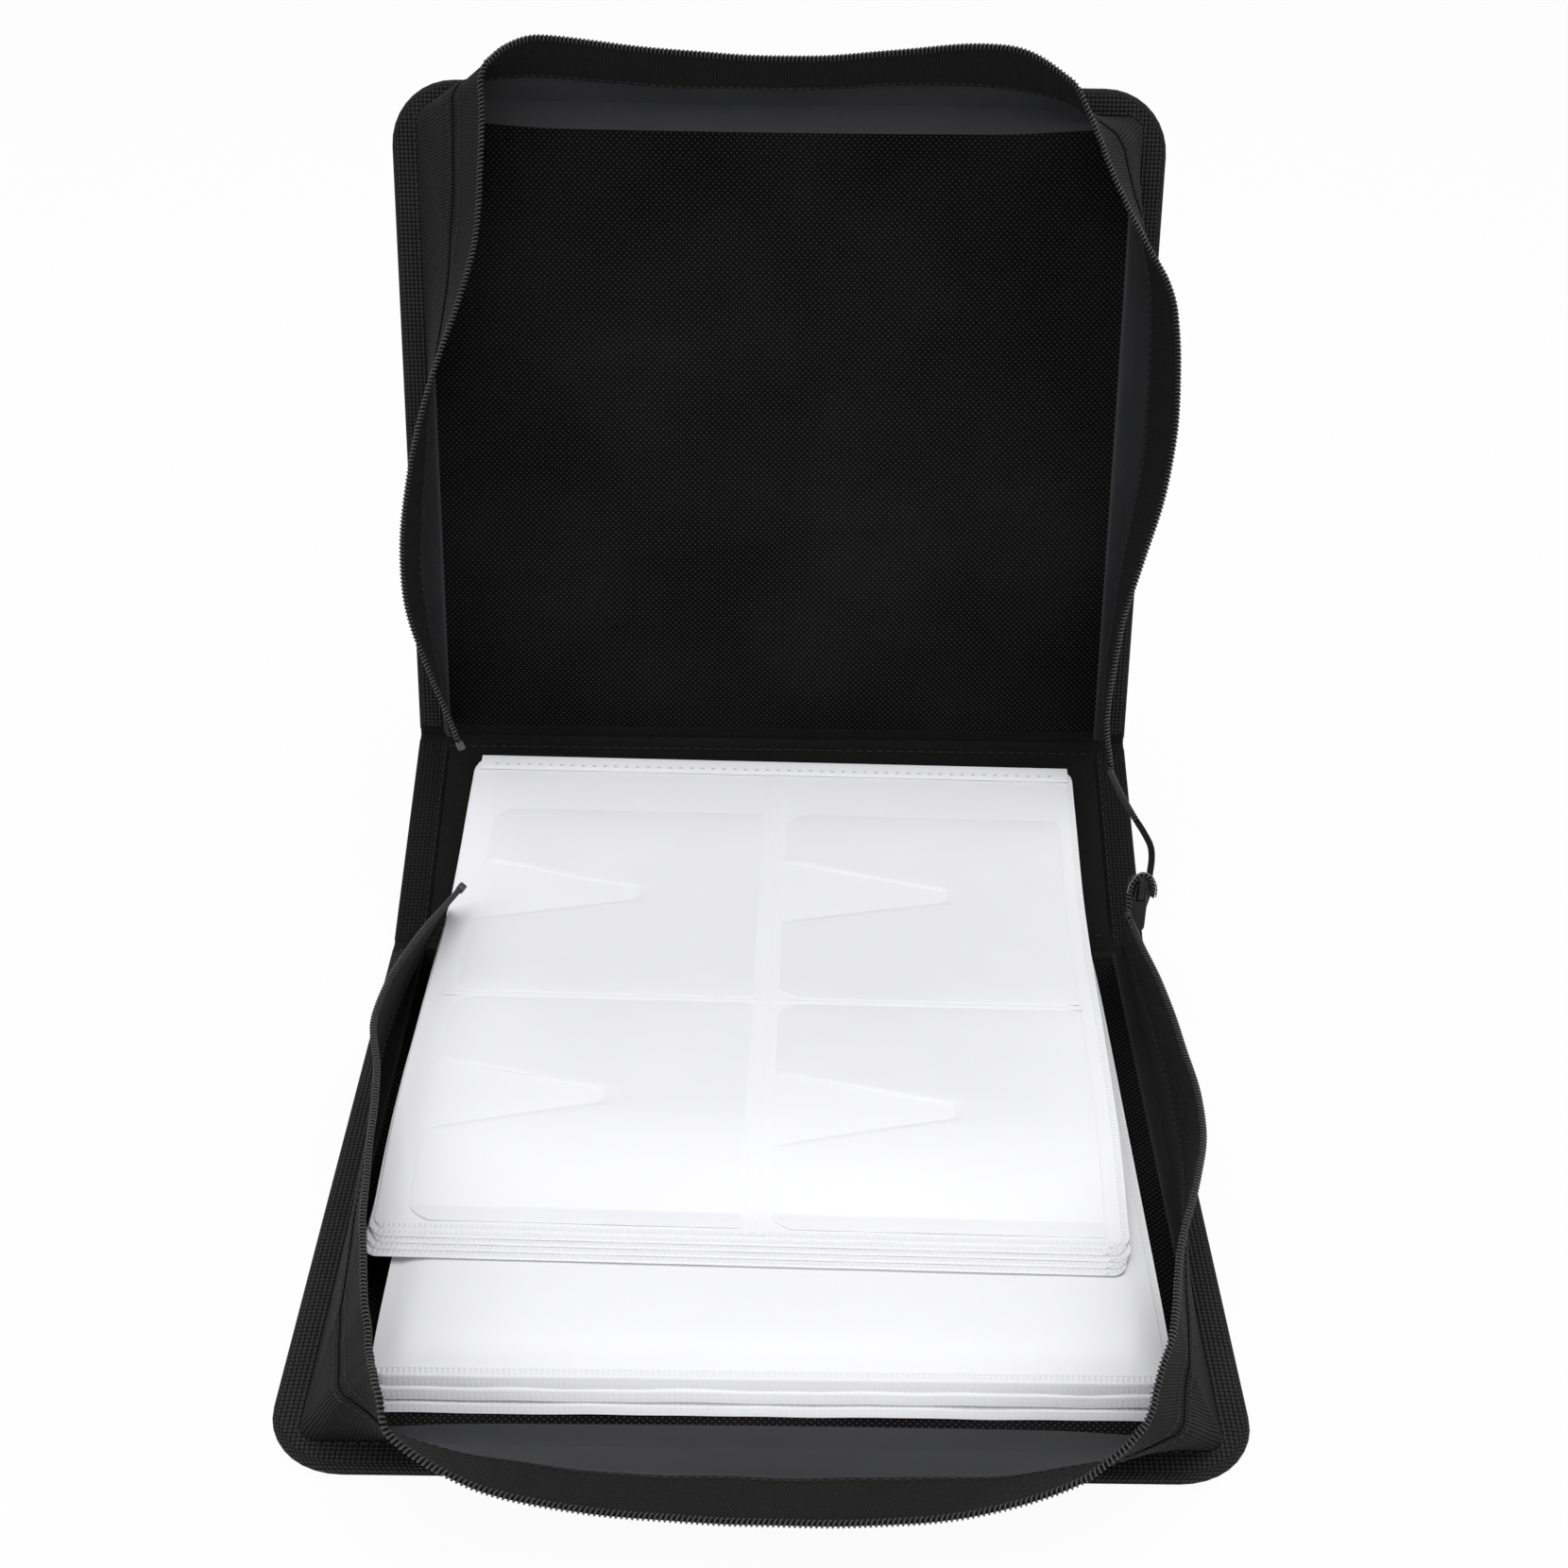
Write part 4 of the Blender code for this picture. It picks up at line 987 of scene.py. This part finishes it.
bundle("lower_pages", LOWER, lower_bottom, pressed_front, "base", "page_bundle_lower", 2.0)
on_page = [
    bundle("upper_pages", UPPER, upper_bottom, upper_top, None, "page_bundle_upper", 7.0),
    pocket("pocket_film_front_left", -0.1255, -0.004, -0.2045, -0.0835, -0.144, -0.059),
    pocket("pocket_film_front_right", 0.0065, 0.129, -0.2045, -0.0835, -0.148, 0.076),
    pocket("pocket_film_back_left", -0.1255, -0.004, -0.079, 0.044, -0.008, -0.056),
    pocket("pocket_film_back_right", 0.0065, 0.129, -0.079, 0.044, -0.005, 0.078),
    page_strip("back_strip", -0.1355, 0.1355, 0.07, 0.0786, 0.0002, 0.0004, 90, 12),
    page_strip("centre_weld_left", -0.0032, -0.0004, -0.208, 0.068, -0.0001, 0.0002, 6, 80),
    page_strip("centre_weld_right", 0.0016, 0.0046, -0.208, 0.068, -0.0001, 0.0002, 6, 80),
    page_strip("row_weld", -0.13, 0.13, -0.0824, -0.08, -0.0001, 0.00012, 80, 6),
]
xs = np.linspace(-0.133, 0.133, 80)[None]
strip_line = on_top_page(xs, np.full_like(xs, 0.0722), 0.0006)[0]
on_page.append(stitches("back_strip_stitches", strip_line, np.tile((0.0, -0.19, 0.98), (80, 1)), None, "sleeve",
                        pitch=0.005, length=0.0018, width=0.0004, kind="pale_thread"))
for obj in on_page:
    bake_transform(obj)


def on_spine(y):
    """The height of the spine's inner face, at a way behind the fold."""
    return AXIS_HEIGHT + y * math.tan(SPINE_ANGLE) + (AXIS_HEIGHT + 0.0007) / math.cos(SPINE_ANGLE)


# Binding tapes behind the bundles.
for name, spec, body, node in (("upper_binding_tape", UPPER, "spine", "upper_binding"),
                               ("lower_binding_tape", LOWER, "base", "lower_binding")):
    low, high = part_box(node)
    loops, laid = [], []
    for x in np.linspace(low.x, high.x, 70):
        leg = spec["back"] + 0.0007 + spec["skew"] * (x - spec["shift"])
        if body == "spine":
            line = [(leg, upper_top(leg) - 0.004), (leg, on_spine(leg) + 0.003),
                    (leg + 0.0006, on_spine(leg) + 0.0008), (leg + 0.002, on_spine(leg + 0.002)),
                    (leg + 0.012, on_spine(leg + 0.012))]
        else:
            line = [(leg, lower_top(leg) - 0.002), (leg, 0.0085), (leg + 0.0006, 0.0064),
                    (leg + 0.0018, 0.0057), (-0.0049, 0.0057)]
        line = np.array(line)
        direction = unit(np.gradient(line, axis=0))
        normal = np.column_stack((direction[:, 1], -direction[:, 0]))
        wave = 0.0001 * math.sin(x * 150)
        front, rear = line + (0.00035 + wave) * normal, line - (0.00035 - wave) * normal
        both = np.concatenate((front, rear[::-1]))
        loops.append(np.column_stack((np.full(len(both), x), FOLD_Y + both[:, 0], both[:, 1])))
        way = way_along(line)
        laid.append(np.column_stack((np.full(len(both), x), np.concatenate((way, way[::-1])))))
    swept(name, loops, laid, "strip", "spine_cloth", body, "binding", replaces=(node,))

# Tails.
onward = unit(base_chain[-1] - base_chain[-2])
path, side, normal = tail_line(np.vstack((base_chain[-1] + 0.0002 * onward, base_chain[-1] + 0.0037 * onward,
                                          BASE_TAIL)), 12, base_inward[-1])
ribbon("base_tail_core", path, side, normal, 0.0018, 0.0012, "zip_tape", "base", ("base_zip_tail",))
coil("base_tail_teeth", path, normal, side, "base", "zip_coil", (), rise=0.0012, depth=0.001)
# Two pale cords edge the loop's upper half.
path, side, normal = path[36:], side[36:], normal[36:]
for number, offset in enumerate((-0.00125, 0.00125)):
    ribbon(f"base_tail_edge_{number}", path + offset * normal + 0.0009 * side, side, normal, 0.0005, 0.0005,
           "zip_edge_cord", "base")
path, side, normal = tail_line(LID_TAIL_LOW, 8, (1.0, 0.0, 0.0))
low_tail = ribbon("lid_tail_low_strip", path, side, normal, 0.0028, 0.0016, "zip_tape", None,
                  ("lid_zip_tail_low",))
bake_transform(low_tail)
onward = unit(lid_chain[-1] - lid_chain[-2])
path, side, normal = tail_line(np.vstack((LID_TAIL_HIGH, lid_chain[-1] + 0.0037 * onward,
                                          lid_chain[-1] + 0.0002 * onward)), 10, (1.0, 0.0, 0.0))
high_tail = ribbon("lid_tail_high_strip", path, side, normal, 0.0026, 0.0016, "zip_tape", None,
                   ("lid_zip_tail_high",))
high_teeth = coil("lid_tail_teeth", path, normal, side, None, "zip_coil", (), rise=0.0013, depth=0.0011)
for obj in (high_tail, high_teeth):
    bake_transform(obj)

# The CAD pieces that stay take their finishes here.
for kind, nodes in (("grey_card", ("base_board", "spine_board", "lid_board")),
                    ("slider_enamel", ("zip_slider", "pull_tab", "zip_bottom_stop")),
                    ("sealed_tip", ("base_top_stop", "lid_top_stop"))):
    for node in nodes:
        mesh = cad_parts[node].data
        for number in range(len(mesh.materials)):
            mesh.materials[number] = FINISHES[kind]
        if not mesh.materials:
            mesh.materials.append(FINISHES[kind])


# Floor, light and camera.


def white_to_the_eye(tree, shader, share):
    """Mixes a shader with plain white light for what the camera sees, straight or in gloss or glass."""
    rays = Shade(tree, None).node("LightPath", {}, {})
    outputs = rays.socket.node.outputs
    seen = Shade(tree, outputs["Is Camera Ray"])
    for kind in ("Is Glossy Ray", "Is Transmission Ray"):
        seen = seen.math("MAXIMUM", Shade(tree, outputs[kind]))
    white = seen.node("Emission", {}, {"Color": (1.0, 1.0, 1.0, 1.0), "Strength": 1.0})
    return seen.node("MixShader", {}, {0: seen * share, 1: shader, 2: white})


floor_mesh = bpy.data.meshes.new("floor")
corners = [(x, y, FLOOR_HEIGHT) for x, y in ((-6, -6), (6, -6), (6, 6), (-6, 6))]
floor_mesh.from_pydata(corners, [], [(0, 1, 2, 3)])
floor = add_object("floor", floor_mesh)
pale = bpy.data.materials.new("pale_floor")
pale.use_nodes = True
tree = pale.node_tree
plain = tree.nodes["Principled BSDF"]
plain.inputs["Base Color"].default_value = (0.86, 0.86, 0.86, 1.0)
plain.inputs["Roughness"].default_value = 0.9
mixed = white_to_the_eye(tree, Shade(tree, plain.outputs[0]), 0.95)
tree.links.new(mixed.socket, tree.nodes["Material Output"].inputs["Surface"])
floor_mesh.materials.append(pale)

world = bpy.data.worlds.new("studio")
world.use_nodes = True
bpy.context.scene.world = world
tree = world.node_tree
background = tree.nodes["Background"]
background.inputs["Color"].default_value = (1.0, 1.0, 1.0, 1.0)
background.inputs["Strength"].default_value = WORLD_LIGHT
mixed = white_to_the_eye(tree, Shade(tree, background.outputs[0]), 1.0)
tree.links.new(mixed.socket, tree.nodes["World Output"].inputs["Surface"])


def soft_lamp(name, at, towards, size, power):
    lamp = bpy.data.lights.new(name, "AREA")
    lamp.shape = "RECTANGLE"
    lamp.size, lamp.size_y = size
    lamp.energy = power
    obj = add_object(name, lamp)
    obj.rotation_euler = (Vector(towards) - Vector(at)).to_track_quat("-Z", "Y").to_euler()
    obj.location = at


soft_lamp("top_light", (0.1, 0.1, 2.2), (0.0, 0.1, 0.0), (2.0, 2.0), 26.0)
soft_lamp("left_light", (-1.6, -0.9, 1.3), (0.0, 0.1, 0.1), (1.2, 1.2), 5.0)
soft_lamp("right_light", (1.6, -0.9, 1.3), (0.0, 0.1, 0.1), (1.2, 1.2), 4.0)
soft_lamp("front_light", (0.0, -2.2, 0.9), (0.0, -0.1, 0.0), (1.6, 0.8), 8.5)

camera_data = bpy.data.cameras.new("camera")
camera_data.sensor_width = 36.0
camera_data.lens = FOCUS_PIXELS / PHOTO_PIXELS * camera_data.sensor_width
camera_data.clip_start, camera_data.clip_end = 0.05, 60.0
camera = add_object("camera", camera_data)
pitch, yaw, roll = 0.5499, 0.0038, 0.0149
ahead = np.array((math.sin(yaw) * math.cos(pitch), math.cos(yaw) * math.cos(pitch), -math.sin(pitch)))
level = np.array((math.cos(yaw), -math.sin(yaw), 0.0))
above = np.cross(level, ahead)
right = math.cos(roll) * level + math.sin(roll) * above
upward = -math.sin(roll) * level + math.cos(roll) * above
place = np.column_stack((right, upward, -ahead, CAMERA_PLACE))
camera.matrix_world = Matrix(np.vstack((place, (0.0, 0.0, 0.0, 1.0))).tolist())
bpy.context.scene.camera = camera
bpy.context.scene.view_settings.view_transform = "Standard"
